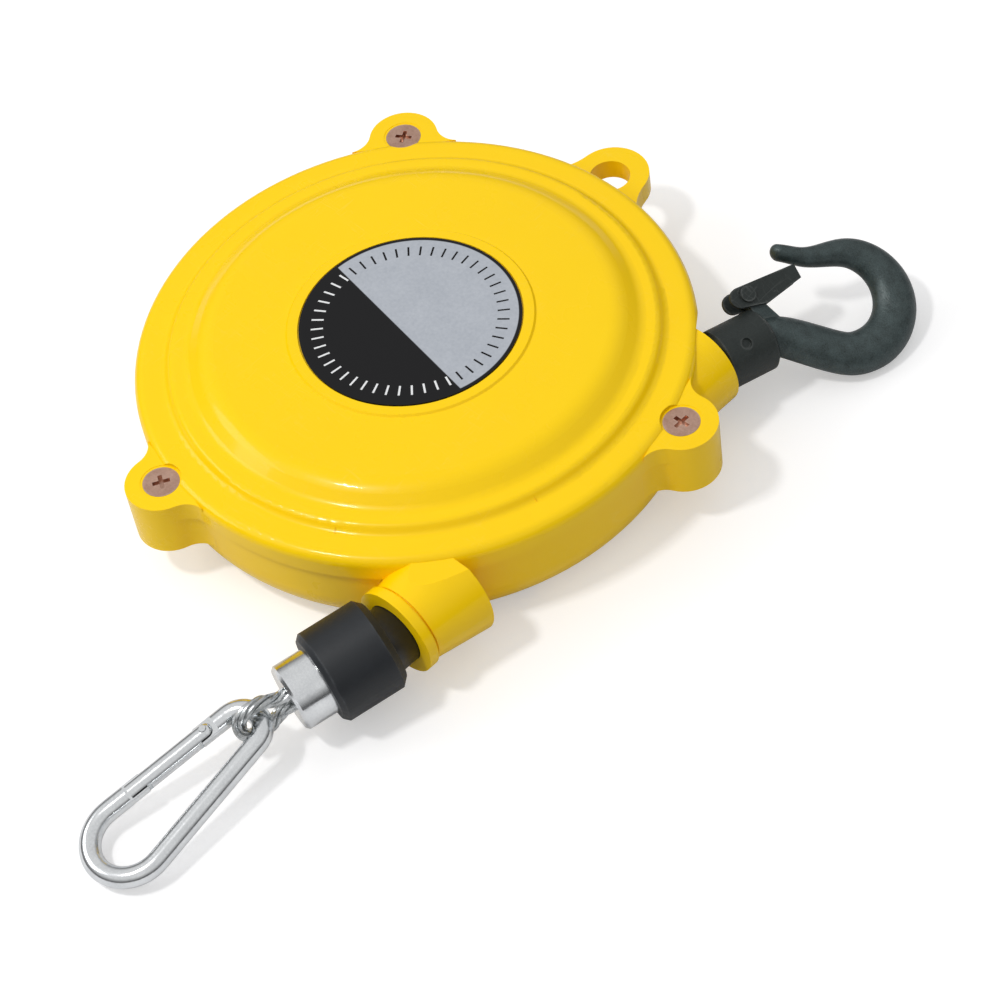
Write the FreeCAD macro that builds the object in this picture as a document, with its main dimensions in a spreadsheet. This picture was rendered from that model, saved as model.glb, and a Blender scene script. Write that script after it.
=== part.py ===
import FreeCAD, Part
import os
from math import asin, atan2, cos, degrees, hypot, pi, radians, sin, sqrt

import Sketcher
from FreeCAD import Placement, Rotation, Vector

# A spring balancer for hand tools, lying on its back. The origin is on the drum's axis at the back
# face, +Z is the front of the case, and +Y points to the suspension hook.

DIMENSIONS = [
    # Case: two die-cast shells that part at split_height.
    ("case_radius", 57.2, "outside of the back case"),
    ("case_wall", 2.4, "thickness of the case's side wall"),
    ("back_round", 9.5, "radius that turns the wall into the back face"),
    ("cavity_round", 3.5, "same corner on the inside"),
    ("floor_thickness", 4.0, "thickness of the back plate"),
    ("split_height", 18.0, "where the two shells meet"),
    ("cover_overhang", 0.7, "how far the cover stands out past the back case"),
    ("rim_rise", 5.3, "top of the cover's outer rim above the parting line"),
    ("rim_round", 2.2, "rounded outer edge of the cover"),
    ("rim_width", 4.4, "flat ring just inside the rounded edge"),
    ("bead_rise", 1.7, "top of the raised ring above the rim"),
    ("bead_inset", 7.9, "outer edge of the raised ring, in from the cover's edge"),
    ("bead_width", 3.4, "width of the raised ring"),
    ("plateau_inset", 15.5, "edge of the raised middle, in from the cover's edge"),
    ("plateau_rise", 4.9, "top of the raised middle above the rim"),
    ("plateau_round", 6.0, "rounding of the plateau's edge"),
    ("bead_round", 1.5, "rounding of the raised ring's outer corners"),
    ("bead_foot_round", 3.0, "rounding between raised ring and plateau"),
    ("cover_wall", 2.4, "thickness of the cover"),
    ("label_radius", 22.8, "round label"),
    ("label_thickness", 0.5, "label plate"),
    ("label_seat_depth", 0.4, "recess that holds the label"),
    ("label_ring_width", 2.4, "raised land round the label"),
    ("label_ring_height", 0.4, "height of that land"),
    # Ears and screws.
    ("ear_offset", 2.6, "circle through the three screws, outside the case"),
    ("ear_radius", 7.4, "rounded ear round each screw"),
    ("ear_blend", 5.0, "concave round between ear and rim"),
    ("ear_depth", 8.4, "height of the back case's ears"),
    ("ear_sink", 0.8, "face under the screw heads, below the rim"),
    ("ear_count", 3, "ears and screws"),
    ("ear_angle", 17.6, "angle of the first ear from +X"),
    ("screw_radius", 2.0, "shank of the screws"),
    ("screw_head_radius", 3.75, "countersunk head"),
    ("screw_head_depth", 2.2, "height of the head's cone"),
    ("screw_length", 11.0, "screw, head included"),
    ("head_inset", 0.1, "screw heads below the face round them"),
    ("head_gap", 0.06, "gap round the cone of a screw head"),
    ("screw_room", 0.5, "gap round the screw head where the rim is cut back"),
    ("cross_width", 0.9, "width of the driver cross"),
    ("cross_length", 3.6, "length of each arm pair of the cross"),
    ("cross_depth", 1.2, "depth of the cross"),
    # Safety lug on the upper edge.
    ("lug_angle", 94.0, "angle of the lug from +X"),
    ("lug_offset", 6.4, "middle of the lug's round end, outside the case"),
    ("lug_radius", 8.0, "outside of the lug"),
    ("lug_blend", 12.0, "concave round between lug and case"),
    ("lug_hole_offset", 5.6, "middle of its hole, outside the case"),
    ("lug_hole", 4.4, "radius of its hole"),
    ("lug_bottom", 12.6, "underside of the lug"),
    ("lug_top", 17.4, "top of the lug"),
    # The line through hook and wire, along Y.
    ("line_inset", 13.2, "hook and wire line, in from the case's side"),
    ("line_z", 12.8, "height of that line"),
    # Suspension boss.
    ("boss_radius", 9.5, "barrel that carries the hook's stem"),
    ("boss_start", 27.0, "inner end of the barrel"),
    ("boss_end", 38.3, "outer face of the barrel"),
    ("ball_inset", 4.7, "ball centre behind the barrel's face"),
    ("ball_radius", 4.8, "ball end of the stem"),
    ("ball_clearance", 0.3, "gap round the ball"),
    ("throat_radius", 4.4, "throat that holds the ball back"),
    ("flare_radius", 8.4, "mouth of the barrel"),
    ("flare_depth", 1.5, "depth of the flared mouth"),
    ("rim_plate", 0.4, "gap between the barrels and the cover's rim plate"),
    # Wire outlet.
    ("snout_radius", 8.9, "barrel round the wire guide"),
    ("snout_root_radius", 11.3, "its slightly wider root in the case"),
    ("snout_start", 34.8, "root of the snout, below the drum's axis"),
    ("snout_end", 50.3, "mouth of the snout"),
    ("lip_radius", 9.5, "collar at the mouth"),
    ("lip_length", 2.9, "length of that collar"),
    ("lip_groove", 0.7, "width of the groove behind the collar"),
    ("lip_groove_depth", 0.5, "depth of that groove"),
    ("guide_radius", 6.5, "outside of the wire guide"),
    ("guide_clearance", 0.1, "gap between guide and snout"),
    ("guide_length", 12.0, "wire guide"),
    ("guide_inset", 0.8, "guide behind the mouth"),
    ("guide_bore", 2.0, "hole for the wire"),
    ("wire_passage", 3.2, "hole between guide and drum chamber"),
    ("guide_flare", 5.0, "bell mouth of the guide"),
    ("guide_flare_depth", 3.4, "depth of the bell mouth"),
    # Drum.
    ("wire_radius", 1.5, "wire rope"),
    ("wire_turns", 4, "turns wound on the drum"),
    ("wire_pitch", 3.1, "spacing of the turns"),
    ("flange_gap", 2.6, "gap between the drum's flanges and the case's wall"),
    ("drum_flange", 1.4, "thickness of a flange"),
    ("drum_bottom", 4.6, "underside of the lower flange"),
    ("drum_rim_wall", 3.3, "rim under the wire"),
    ("drum_web", 1.5, "disc between hub and rim"),
    ("drum_web_height", 10.0, "underside of that disc"),
    ("wall_room", 0.5, "least gap between drum or wire and anything in the case"),
    ("cup_inset", 4.5, "spring chamber, inside the wire's line"),
    ("roof_gap", 1.5, "gap between the spring chamber and the cover"),
    ("cup_wall", 2.2, "wall of the spring chamber"),
    ("hub_radius", 9.0, "hub of the drum"),
    ("hub_rise", 0.6, "top of the hub above the spring chamber"),
    ("bush_wall", 1.4, "wall of the drum's bushes"),
    ("bush_length", 4.5, "each bush, without its flange"),
    ("bush_flange", 0.4, "flange of a bush"),
    ("bush_flange_radius", 8.2, "radius of that flange"),
    ("spring_cover_thickness", 0.7, "lid of the spring chamber"),
    # Arbor, ratchet and pawl.
    ("arbor_radius", 5.0, "shaft that carries the drum"),
    ("arbor_play", 0.05, "running clearance of the shaft"),
    ("arbor_reach", 1.4, "how far the shaft enters the cover"),
    ("arbor_end_gap", 0.2, "gap beyond the shaft's upper end"),
    ("journal_radius", 4.0, "thinner end in the cover"),
    ("arbor_collar_radius", 7.5, "collar that rests on the case's hub"),
    ("arbor_collar", 0.5, "thickness of that collar"),
    ("case_hub_radius", 11.0, "hub in the back case"),
    ("case_hub_top", 8.9, "top of that hub"),
    ("square_side", 6.4, "square end under the ratchet wheel"),
    ("key_hex", 4.0, "hexagon socket, across flats"),
    ("key_depth", 4.0, "depth of the socket"),
    ("recess_depth", 2.7, "recess in the back face for ratchet and pawl"),
    ("plate_inset", 0.5, "ratchet and pawl behind the back face"),
    ("plate_thickness", 1.8, "ratchet wheel and pawl"),
    ("ratchet_radius", 11.0, "tips of the ratchet teeth"),
    ("ratchet_root", 9.2, "roots of the teeth"),
    ("ratchet_teeth", 24, "teeth"),
    ("tooth_lead", 3.0, "angle between the pawl's nose and the tooth it holds"),
    ("ratchet_room", 1.5, "recess round the wheel"),
    ("pawl_pivot_radius", 22.4, "pawl pin from the drum's axis"),
    ("pawl_pivot_angle", -23.7, "its angle from +X"),
    ("pawl_eye", 4.0, "round of the pawl about its pin"),
    ("pawl_pin_radius", 1.6, "pawl pin"),
    ("pawl_lever", 30.0, "thumb lever, from the pin"),
    ("pawl_width", 4.0, "width of the lever"),
    ("pawl_arm_offset", 3.0, "how far the pawl's arm stays outside its line of push"),
    ("nose_gap", 0.5, "pawl's nose above the roots of the teeth"),
    ("nose_length", 2.3, "sloping face of the nose, along its line of push"),
    ("nose_height", 1.6, "rise of that face"),
    ("pawl_lift", 12.0, "angle through which the pawl lifts"),
    ("nose_room", 1.5, "recess beside the pawl's nose, more than that"),
    ("pawl_room", 1.0, "recess beside the pawl"),
    ("spring_wire", 0.35, "radius of the small spring wires"),
    ("spring_hold", 7.0, "where the case holds the pawl's spring, from the pawl's pin"),
    ("spring_touch", 17.0, "where that spring touches the lever, from the pin"),
    # Mainspring.
    ("spring_strip", 0.6, "thickness of the mainspring"),
    ("spring_width", 10.6, "width of the mainspring"),
    ("spring_turns", 7, "turns of the mainspring"),
    ("spring_gap", 0.3, "gap between spring and chamber"),
    # Hook. Its own frame has the ball centre at the origin, +Y along the stem, and the back of the
    # hook at +X.
    ("hook_yaw", 12.5, "lean of the stem towards +X"),
    ("hook_droop", 5.0, "lean of the stem towards the ground"),
    ("hook_roll", 33.0, "turn of the hook about its stem"),
    ("neck_radius", 3.2, "stem"),
    ("neck_play", 0.07, "running clearance of the stem in the collar"),
    ("stem_length", 14.3, "stem from the ball centre"),
    ("groove_radius", 2.3, "groove for the collar's pin"),
    ("collar_start", 5.0, "inner end of the collar"),
    ("collar_end", 18.7, "outer end of the collar"),
    ("collar_radius", 6.65, "collar"),
    ("collar_chamfer", 2.2, "chamfer at its inner end"),
    ("collar_pin_radius", 1.1, "pin in the collar"),
    ("collar_pin_place", 11.9, "pin from the ball centre"),
    ("shank_radius", 3.9, "shank of the hook"),
    ("bowl_centre", 38.9, "centre of the hook's bowl"),
    ("bowl_radius", 7.2, "inside of the bowl"),
    ("hook_back", 8.8, "thickness of the hook at its loaded side"),
    ("hook_tip", 3.4, "thickness of the hook at its tip"),
    ("hook_tip_reach", 9.6, "end of the hook's tip, back from the bowl's centre"),
    ("hook_depth", 7.0, "greatest width across the hook"),
    ("latch_pivot_x", -9.3, "latch rivet beside the stem"),
    ("latch_pivot_y", 19.3, "latch rivet along the stem"),
    ("latch_eye", 2.2, "rounded end of the latch"),
    ("latch_heel", 1.8, "rounded end's centre behind the rivet"),
    ("latch_length", 12.6, "latch beyond its rivet"),
    ("latch_tip", 1.4, "side of the latch's free end, from the rivet's line"),
    ("latch_sheet", 0.8, "sheet of the latch"),
    ("latch_rivet_radius", 1.0, "rivet"),
    ("latch_lug", 3.0, "width of the lug on the hook"),
    ("latch_lug_length", 5.5, "foot of that lug, along the shank"),
    ("latch_play", 0.35, "gap between latch and lug"),
    # Wire end. Its own frame has the origin at the snout's mouth, and -Y along the wire.
    ("wire_yaw", 14.7, "lean of the wire end towards -X"),
    ("wire_droop", 5.6, "lean of the wire end towards the ground"),
    ("bumper_start", 2.7, "near face of the rubber bumper"),
    ("bumper_end", 17.2, "far face of the bumper"),
    ("bumper_radius", 9.75, "bumper"),
    ("bumper_chamfer", 1.5, "chamfer of its near end"),
    ("bumper_round", 1.0, "chamfer of its far end"),
    ("ferrule_radius", 7.0, "pressed sleeve"),
    ("ferrule_end", 24.2, "far face of the sleeve"),
    ("ferrule_grip", 3.5, "how far the rope reaches into the sleeve"),
    ("strand_offset", 2.1, "each strand beside the sleeve's axis"),
    ("strand_straight", 0.8, "straight rope beyond the sleeve"),
    ("eye_reach", 6.5, "centre of the rope eye from the sleeve"),
    ("eye_radius", 4.3, "rope eye, at the rope's middle"),
    # Carabiner. Its own frame has the origin at the centre of its narrow end, and -Y along it.
    ("clip_yaw", 3.2, "turn of the carabiner towards -X"),
    ("clip_droop", 10.9, "slope of the carabiner"),
    ("clip_wire", 2.15, "radius of its wire"),
    ("clip_narrow", 4.6, "narrow end, at the wire's middle"),
    ("clip_wide", 7.9, "wide end, at the wire's middle"),
    ("clip_length", 28.9, "between the centres of the two ends"),
    ("gate_start", 5.2, "gate's pin, along its side of the carabiner"),
    ("gate_end", 21.6, "nose of the carabiner, along the same side"),
    ("gate_radius", 1.95, "gate"),
    ("gate_slot", 2.2, "slot in the gate's ends"),
    ("gate_tongue", 1.6, "flattened wire ends in those slots"),
    ("gate_pin_radius", 0.7, "gate's pin"),
]

CLEARANCE = 0.3
STEEL_FIT = 0.02

doc = FreeCAD.newDocument("ToolBalancer")
sheet = doc.addObject("Spreadsheet::Sheet", "Dims")
for row, (alias, number, meaning) in enumerate(DIMENSIONS, start=1):
    sheet.set(f"A{row}", alias)
    sheet.set(f"B{row}", str(number))
    sheet.set(f"C{row}", meaning)
    sheet.setAlias(f"B{row}", alias)
doc.recompute()

sub_parts = []


class Size:
    """A length or angle that knows its number and the formula that gives it from the sheet."""

    def __init__(self, number, formula):
        self.number = number
        self.formula = formula

    def __add__(self, other):
        other = as_size(other)
        return Size(self.number + other.number, f"({self.formula} + {other.formula})")

    def __sub__(self, other):
        other = as_size(other)
        return Size(self.number - other.number, f"({self.formula} - {other.formula})")

    def __mul__(self, other):
        other = as_size(other)
        return Size(self.number * other.number, f"({self.formula} * {other.formula})")

    def __truediv__(self, other):
        other = as_size(other)
        return Size(self.number / other.number, f"({self.formula} / {other.formula})")

    def __neg__(self):
        return Size(-self.number, f"(0 - {self.formula})")

    def __radd__(self, other):
        return as_size(other) + self

    def __rsub__(self, other):
        return as_size(other) - self

    def __rmul__(self, other):
        return as_size(other) * self

    def __float__(self):
        return float(self.number)


def as_size(value):
    if isinstance(value, Size):
        return value
    number = float(value)
    return Size(number, f"{number!r}" if number >= 0 else f"(0 - {-number!r})")


def dim(alias):
    return Size(float(getattr(sheet, alias)), f"Dims.{alias}")


def root(value):
    return Size(sqrt(value.number), f"sqrt({value.formula})")


def cosine(angle):
    return Size(cos(radians(angle.number)), f"cos({angle.formula})")


def sine(angle):
    return Size(sin(radians(angle.number)), f"sin({angle.formula})")


def arc_sine(ratio):
    return Size(degrees(asin(ratio.number)), f"(asin({ratio.formula}) / 1 deg)")


def polar(radius, angle):
    radius = as_size(radius)
    angle = as_size(angle)
    return radius * cosine(angle), radius * sine(angle)


# ---- Sketches and features ----

def new_body(label, loose=False):
    body = doc.addObject("PartDesign::Body", label)
    body.Label = label
    if loose:
        body.AllowCompound = True
    sub_parts.append(body)
    return body


def origin_feature(body, role):
    return next(item for item in body.Origin.OriginFeatures if item.Role == role)


def arc_between(start, end, bend):
    """Arc from start to end; a positive bend turns left, a negative one right."""
    chord = end - start
    radius = abs(bend)
    rise = sqrt(max(radius ** 2 - (chord.Length / 2) ** 2, 0.0))
    left = Vector(-chord.y, chord.x, 0).normalize()
    centre = (start + end) * 0.5 + left * (rise if bend > 0 else -rise)
    first, last = (start, end) if bend > 0 else (end, start)
    first_angle = atan2(first.y - centre.y, first.x - centre.x)
    last_angle = atan2(last.y - centre.y, last.x - centre.x)
    if last_angle < first_angle:
        last_angle += 2 * pi
    circle = Part.Circle(centre, Vector(0, 0, 1), radius)
    return Part.ArcOfCircle(circle, first_angle, last_angle)


def bind(sketch, kind, geometry, point, value):
    """Holds a point's coordinate at a size from the sheet."""
    index = sketch.addConstraint(Sketcher.Constraint(kind, -1, 1, geometry, point, value.number))
    sketch.setExpression(f"Constraints[{index}]", value.formula)


def new_sketch(body, name, plane, path, height=0.0, angle=0.0, closed=True):
    """Outline through the points of path; a third value bends the run to the next point."""
    sketch = body.newObject("Sketcher::SketchObject", name)
    sketch.AttachmentSupport = (origin_feature(body, plane), [""])
    sketch.MapMode = "FlatFace"
    height = as_size(height)
    angle = as_size(angle)
    sketch.AttachmentOffset = Placement(Vector(0, 0, height.number),
                                        Rotation(Vector(0, 0, 1), angle.number))
    sketch.setExpression("AttachmentOffset.Base.z", height.formula)
    if angle.number:
        sketch.setExpression("AttachmentOffset.Rotation.Angle", angle.formula)
    points = [(as_size(item[0]), as_size(item[1])) for item in path]
    spots = [Vector(x.number, y.number, 0) for x, y in points]
    runs = len(path) if closed else len(path) - 1
    ends = []
    for index in range(runs):
        start, end = spots[index], spots[(index + 1) % len(path)]
        if len(path[index]) == 3:
            bend = as_size(path[index][2])
            geometry = sketch.addGeometry(arc_between(start, end, bend.number), False)
            radius = bend if bend.number > 0 else -bend
            bound = sketch.addConstraint(Sketcher.Constraint("Radius", geometry, radius.number))
            sketch.setExpression(f"Constraints[{bound}]", radius.formula)
            ends.append((geometry, 1, 2) if bend.number > 0 else (geometry, 2, 1))
        else:
            geometry = sketch.addGeometry(Part.LineSegment(start, end), False)
            ends.append((geometry, 1, 2))
    for index, (geometry, first, last) in enumerate(ends):
        x, y = points[index]
        bind(sketch, "DistanceX", geometry, first, x)
        bind(sketch, "DistanceY", geometry, first, y)
        if closed or index + 1 < runs:
            follower, follower_first, _ = ends[(index + 1) % runs]
            sketch.addConstraint(
                Sketcher.Constraint("Coincident", geometry, last, follower, follower_first))
        else:
            x, y = points[-1]
            bind(sketch, "DistanceX", geometry, last, x)
            bind(sketch, "DistanceY", geometry, last, y)
    return sketch


def revolve(body, name, path, plane="XZ_Plane", cut=False):
    """Turns an outline about the plane's vertical axis."""
    sketch = new_sketch(body, f"{name}Profile", plane, path)
    kind = "PartDesign::Groove" if cut else "PartDesign::Revolution"
    feature = body.newObject(kind, name)
    feature.Profile = sketch
    feature.ReferenceAxis = (sketch, ["V_Axis"])
    feature.Angle = 360
    sketch.Visibility = False
    return feature


def extrude(body, name, path, bottom, top, cut=False, angle=0.0, plane="XY_Plane"):
    """Pads or cuts an outline from one height to another."""
    bottom = as_size(bottom)
    sketch = new_sketch(body, f"{name}Outline", plane, path, height=bottom, angle=angle)
    feature = body.newObject("PartDesign::Pocket" if cut else "PartDesign::Pad", name)
    feature.Profile = sketch
    feature.setExpression("Length", (as_size(top) - bottom).formula)
    feature.Reversed = cut
    sketch.Visibility = False
    return feature


def primitive(body, kind, name, base, direction, sizes, cut=False):
    """Adds or cuts a cylinder, cone, box or ball whose axis starts at base."""
    prefix = "Subtractive" if cut else "Additive"
    feature = body.newObject(f"PartDesign::{prefix}{kind}", name)
    base = [as_size(value) for value in base]
    feature.Placement = Placement(Vector(*[value.number for value in base]),
                                  Rotation(Vector(0, 0, 1), Vector(*direction)))
    for axis, value in zip("xyz", base):
        feature.setExpression(f"Placement.Base.{axis}", value.formula)
    for key, value in sizes.items():
        feature.setExpression(key, as_size(value).formula)
    return feature


def rod(body, name, radius, length, base, direction=(0, 0, 1), cut=False):
    return primitive(body, "Cylinder", name, base, direction,
                     {"Radius": radius, "Height": length}, cut)


def cone(body, name, start_radius, end_radius, length, base, direction=(0, 0, 1), cut=False):
    return primitive(body, "Cone", name, base, direction,
                     {"Radius1": start_radius, "Radius2": end_radius, "Height": length}, cut)


def ball(body, name, radius, centre, cut=False):
    return primitive(body, "Sphere", name, centre, (0, 0, 1), {"Radius": radius}, cut)


def polar_pattern(body, name, features, count):
    """Repeats features evenly about the body's Z axis."""
    pattern = body.newObject("PartDesign::PolarPattern", name)
    pattern.Originals = features
    pattern.Axis = (origin_feature(body, "Z_Axis"), [""])
    pattern.Angle = 360
    pattern.setExpression("Occurrences", as_size(count).formula)
    body.Tip = pattern
    return pattern


def fillet_rings(body, name, radius, rings):
    """Rounds the body's circular edges that lie at the given radius and height about Z."""
    doc.recompute()
    wanted = [(float(ring), float(level)) for ring, level in rings]
    picked = []
    for index, edge in enumerate(body.Shape.Edges, start=1):
        point = edge.valueAt(edge.FirstParameter)
        if not isinstance(edge.Curve, Part.Circle) or abs(edge.Curve.Axis.z) < 0.99:
            continue
        if any(abs(hypot(point.x, point.y) - ring) < 1e-4 and abs(point.z - level) < 1e-4
               for ring, level in wanted):
            picked.append(f"Edge{index}")
    feature = body.newObject("PartDesign::Fillet", name)
    feature.Base = (body.Tip if body.Tip != feature else feature.BaseFeature, picked)
    feature.setExpression("Radius", radius.formula)
    return feature


def ear_outline(rim, centre, radius, blend):
    """An ear at (centre, 0) that runs into the rim's circle through concave rounds."""
    across = (centre * centre + (rim + blend) * (rim + blend)
              - (radius + blend) * (radius + blend)) / (2 * centre)
    up = root((rim + blend) * (rim + blend) - across * across)
    on_rim = rim / (rim + blend)
    on_ear = radius / (radius + blend)
    rim_x, rim_y = across * on_rim, up * on_rim
    ear_x, ear_y = centre + (across - centre) * on_ear, up * on_ear
    return [
        (rim_x, -rim_y, -blend),
        (ear_x, -ear_y, radius),
        (centre + radius, 0, radius),
        (ear_x, ear_y, -blend),
        (rim_x, rim_y),
    ]


def swept_tube(label, path, radius, placement, plane_name="XY_Plane"):
    """A round wire along lines and arcs, as a pipe feature."""
    body = new_body(label)
    spine = new_sketch(body, f"{label}_spine", plane_name, path, closed=False)
    doc.recompute()
    first = spine.Shape.Edges[0]
    start = Vector(float(as_size(path[0][0])), float(as_size(path[0][1])), 0)
    at_start = (first.valueAt(first.FirstParameter) - start).Length < 1e-6
    tangent = first.tangentAt(first.FirstParameter if at_start else first.LastParameter)
    section = body.newObject("Sketcher::SketchObject", f"{label}_section")
    section.AttachmentSupport = (origin_feature(body, plane_name), [""])
    section.MapMode = "ObjectXY"
    section.AttachmentOffset = Placement(start, Rotation(Vector(0, 0, 1), tangent))
    circle = section.addGeometry(Part.Circle(Vector(0, 0, 0), Vector(0, 0, 1), float(radius)))
    section.addConstraint(Sketcher.Constraint("Coincident", circle, 3, -1, 1))
    bound = section.addConstraint(Sketcher.Constraint("Radius", circle, float(radius)))
    section.setExpression(f"Constraints[{bound}]", radius.formula)
    pipe = body.newObject("PartDesign::AdditivePipe", f"{label}_pipe")
    pipe.Profile = section
    pipe.Spine = spine
    body.Placement = placement
    return body


# ---- Shared places ----

PITCH_RADIUS = dim("case_radius") - dim("line_inset")
LINE = (PITCH_RADIUS, dim("line_z"))
CAVITY_RADIUS = dim("case_radius") - dim("case_wall")
COVER_RADIUS = dim("case_radius") + dim("cover_overhang")
RIM_TOP = dim("split_height") + dim("rim_rise")
BEAD_TOP = RIM_TOP + dim("bead_rise")
PLATEAU_TOP = RIM_TOP + dim("plateau_rise")
COVER_ROOF = PLATEAU_TOP - dim("cover_wall")
CUP_TOP = COVER_ROOF - dim("roof_gap")
HUB_TOP = CUP_TOP + dim("hub_rise")
ARBOR_TOP = COVER_ROOF + dim("arbor_reach")
BARREL_TOP = dim("line_z") + dim("boss_radius")
EAR_CIRCLE = dim("case_radius") + dim("ear_offset")
EAR_TOP = RIM_TOP - dim("ear_sink")
LUG_REACH = dim("case_radius") + dim("lug_offset")
FLANGE_RADIUS = CAVITY_RADIUS - dim("flange_gap")
CUP_RADIUS = PITCH_RADIUS - dim("cup_inset")
BALL_PLACE = dim("boss_end") - dim("ball_inset")
BUSH_RADIUS = dim("arbor_radius") + dim("bush_wall")
GROOVE_BOTTOM = PITCH_RADIUS - dim("wire_radius") - 0.1
WINDING_WIDTH = dim("wire_turns") * dim("wire_pitch") + 2 * CLEARANCE
UPPER_FLANGE = dim("drum_bottom") + dim("drum_flange") + WINDING_WIDTH
PLATE_TOP = dim("plate_inset") + dim("plate_thickness")
PAWL_X, PAWL_Y = polar(dim("pawl_pivot_radius"), dim("pawl_pivot_angle"))
# The pawl's nose lies where its line of push is square to the wheel's radius.
NOSE_SPREAD = degrees(atan2(sqrt(float(dim("pawl_pivot_radius")) ** 2
                                 - float(dim("ratchet_root")) ** 2), float(dim("ratchet_root"))))
NOSE_ANGLE = float(dim("pawl_pivot_angle")) + NOSE_SPREAD
NOSE_REACH = root(dim("pawl_pivot_radius") * dim("pawl_pivot_radius")
                  - dim("ratchet_root") * dim("ratchet_root"))
NOSE_DIRECTION = NOSE_ANGLE + 90.0


def hook_frame():
    """Where the hook's own frame lies: ball centre, lean, droop and roll."""
    turn = (Rotation(Vector(0, 0, 1), -float(dim("hook_yaw")))
            * Rotation(Vector(1, 0, 0), -float(dim("hook_droop")))
            * Rotation(Vector(0, 1, 0), float(dim("hook_roll"))))
    return Placement(Vector(float(LINE[0]), float(BALL_PLACE), float(LINE[1])), turn)


def wire_frame():
    """Where the wire end's own frame lies: at the snout's mouth, -Y along the wire."""
    turn = (Rotation(Vector(0, 0, 1), -float(dim("wire_yaw")))
            * Rotation(Vector(1, 0, 0), float(dim("wire_droop"))))
    return Placement(Vector(float(LINE[0]), -float(dim("snout_end")), float(LINE[1])), turn)


def clip_turn():
    return (Rotation(Vector(0, 0, 1), -float(dim("clip_yaw")))
            * Rotation(Vector(1, 0, 0), float(dim("clip_droop"))))


def eye_centre():
    along = float(dim("ferrule_end") + dim("eye_reach"))
    return wire_frame().multVec(Vector(0, -along, 0))


def pull_direction():
    """The wire's direction laid into the carabiner's plane."""
    normal = clip_turn().multVec(Vector(0, 0, 1))
    along = wire_frame().Rotation.multVec(Vector(0, -1, 0))
    return (along - normal * along.dot(normal)).normalize()


def clip_frame():
    """Where the carabiner lies: its narrow end runs through the middle of the rope eye."""
    centre = eye_centre() + pull_direction() * float(dim("clip_narrow"))
    return Placement(centre, clip_turn())


def eye_frame():
    """The wire end's frame rolled so that the rope eye stands square to the carabiner's wire."""
    along = wire_frame().Rotation.multVec(Vector(0, -1, 0))
    normal = clip_turn().multVec(Vector(0, 0, 1))
    cross_wire = normal.cross(pull_direction()).normalize()
    in_plane = cross_wire.cross(along).normalize()
    turn = Rotation(in_plane, along * -1, cross_wire, "XYZ")
    return Placement(wire_frame().Base, turn)


# ---- Case ----

def pawl_room_outline(direction, reach, lift, offset):
    """A wedge that leaves room for one arm of the pawl to swing through its lift."""
    half = dim("pawl_width") / 2 + dim("pawl_room") + offset
    side_x, side_y = polar(half, direction + 90.0)
    other_x, other_y = polar(half, direction - lift - 90.0)
    far_x, far_y = polar(reach, direction)
    last_x, last_y = polar(reach, direction - lift)
    return [
        (PAWL_X + other_x, PAWL_Y + other_y),
        (PAWL_X + last_x + other_x, PAWL_Y + last_y + other_y),
        (PAWL_X + far_x + side_x, PAWL_Y + far_y + side_y),
        (PAWL_X + side_x, PAWL_Y + side_y),
    ]


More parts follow.
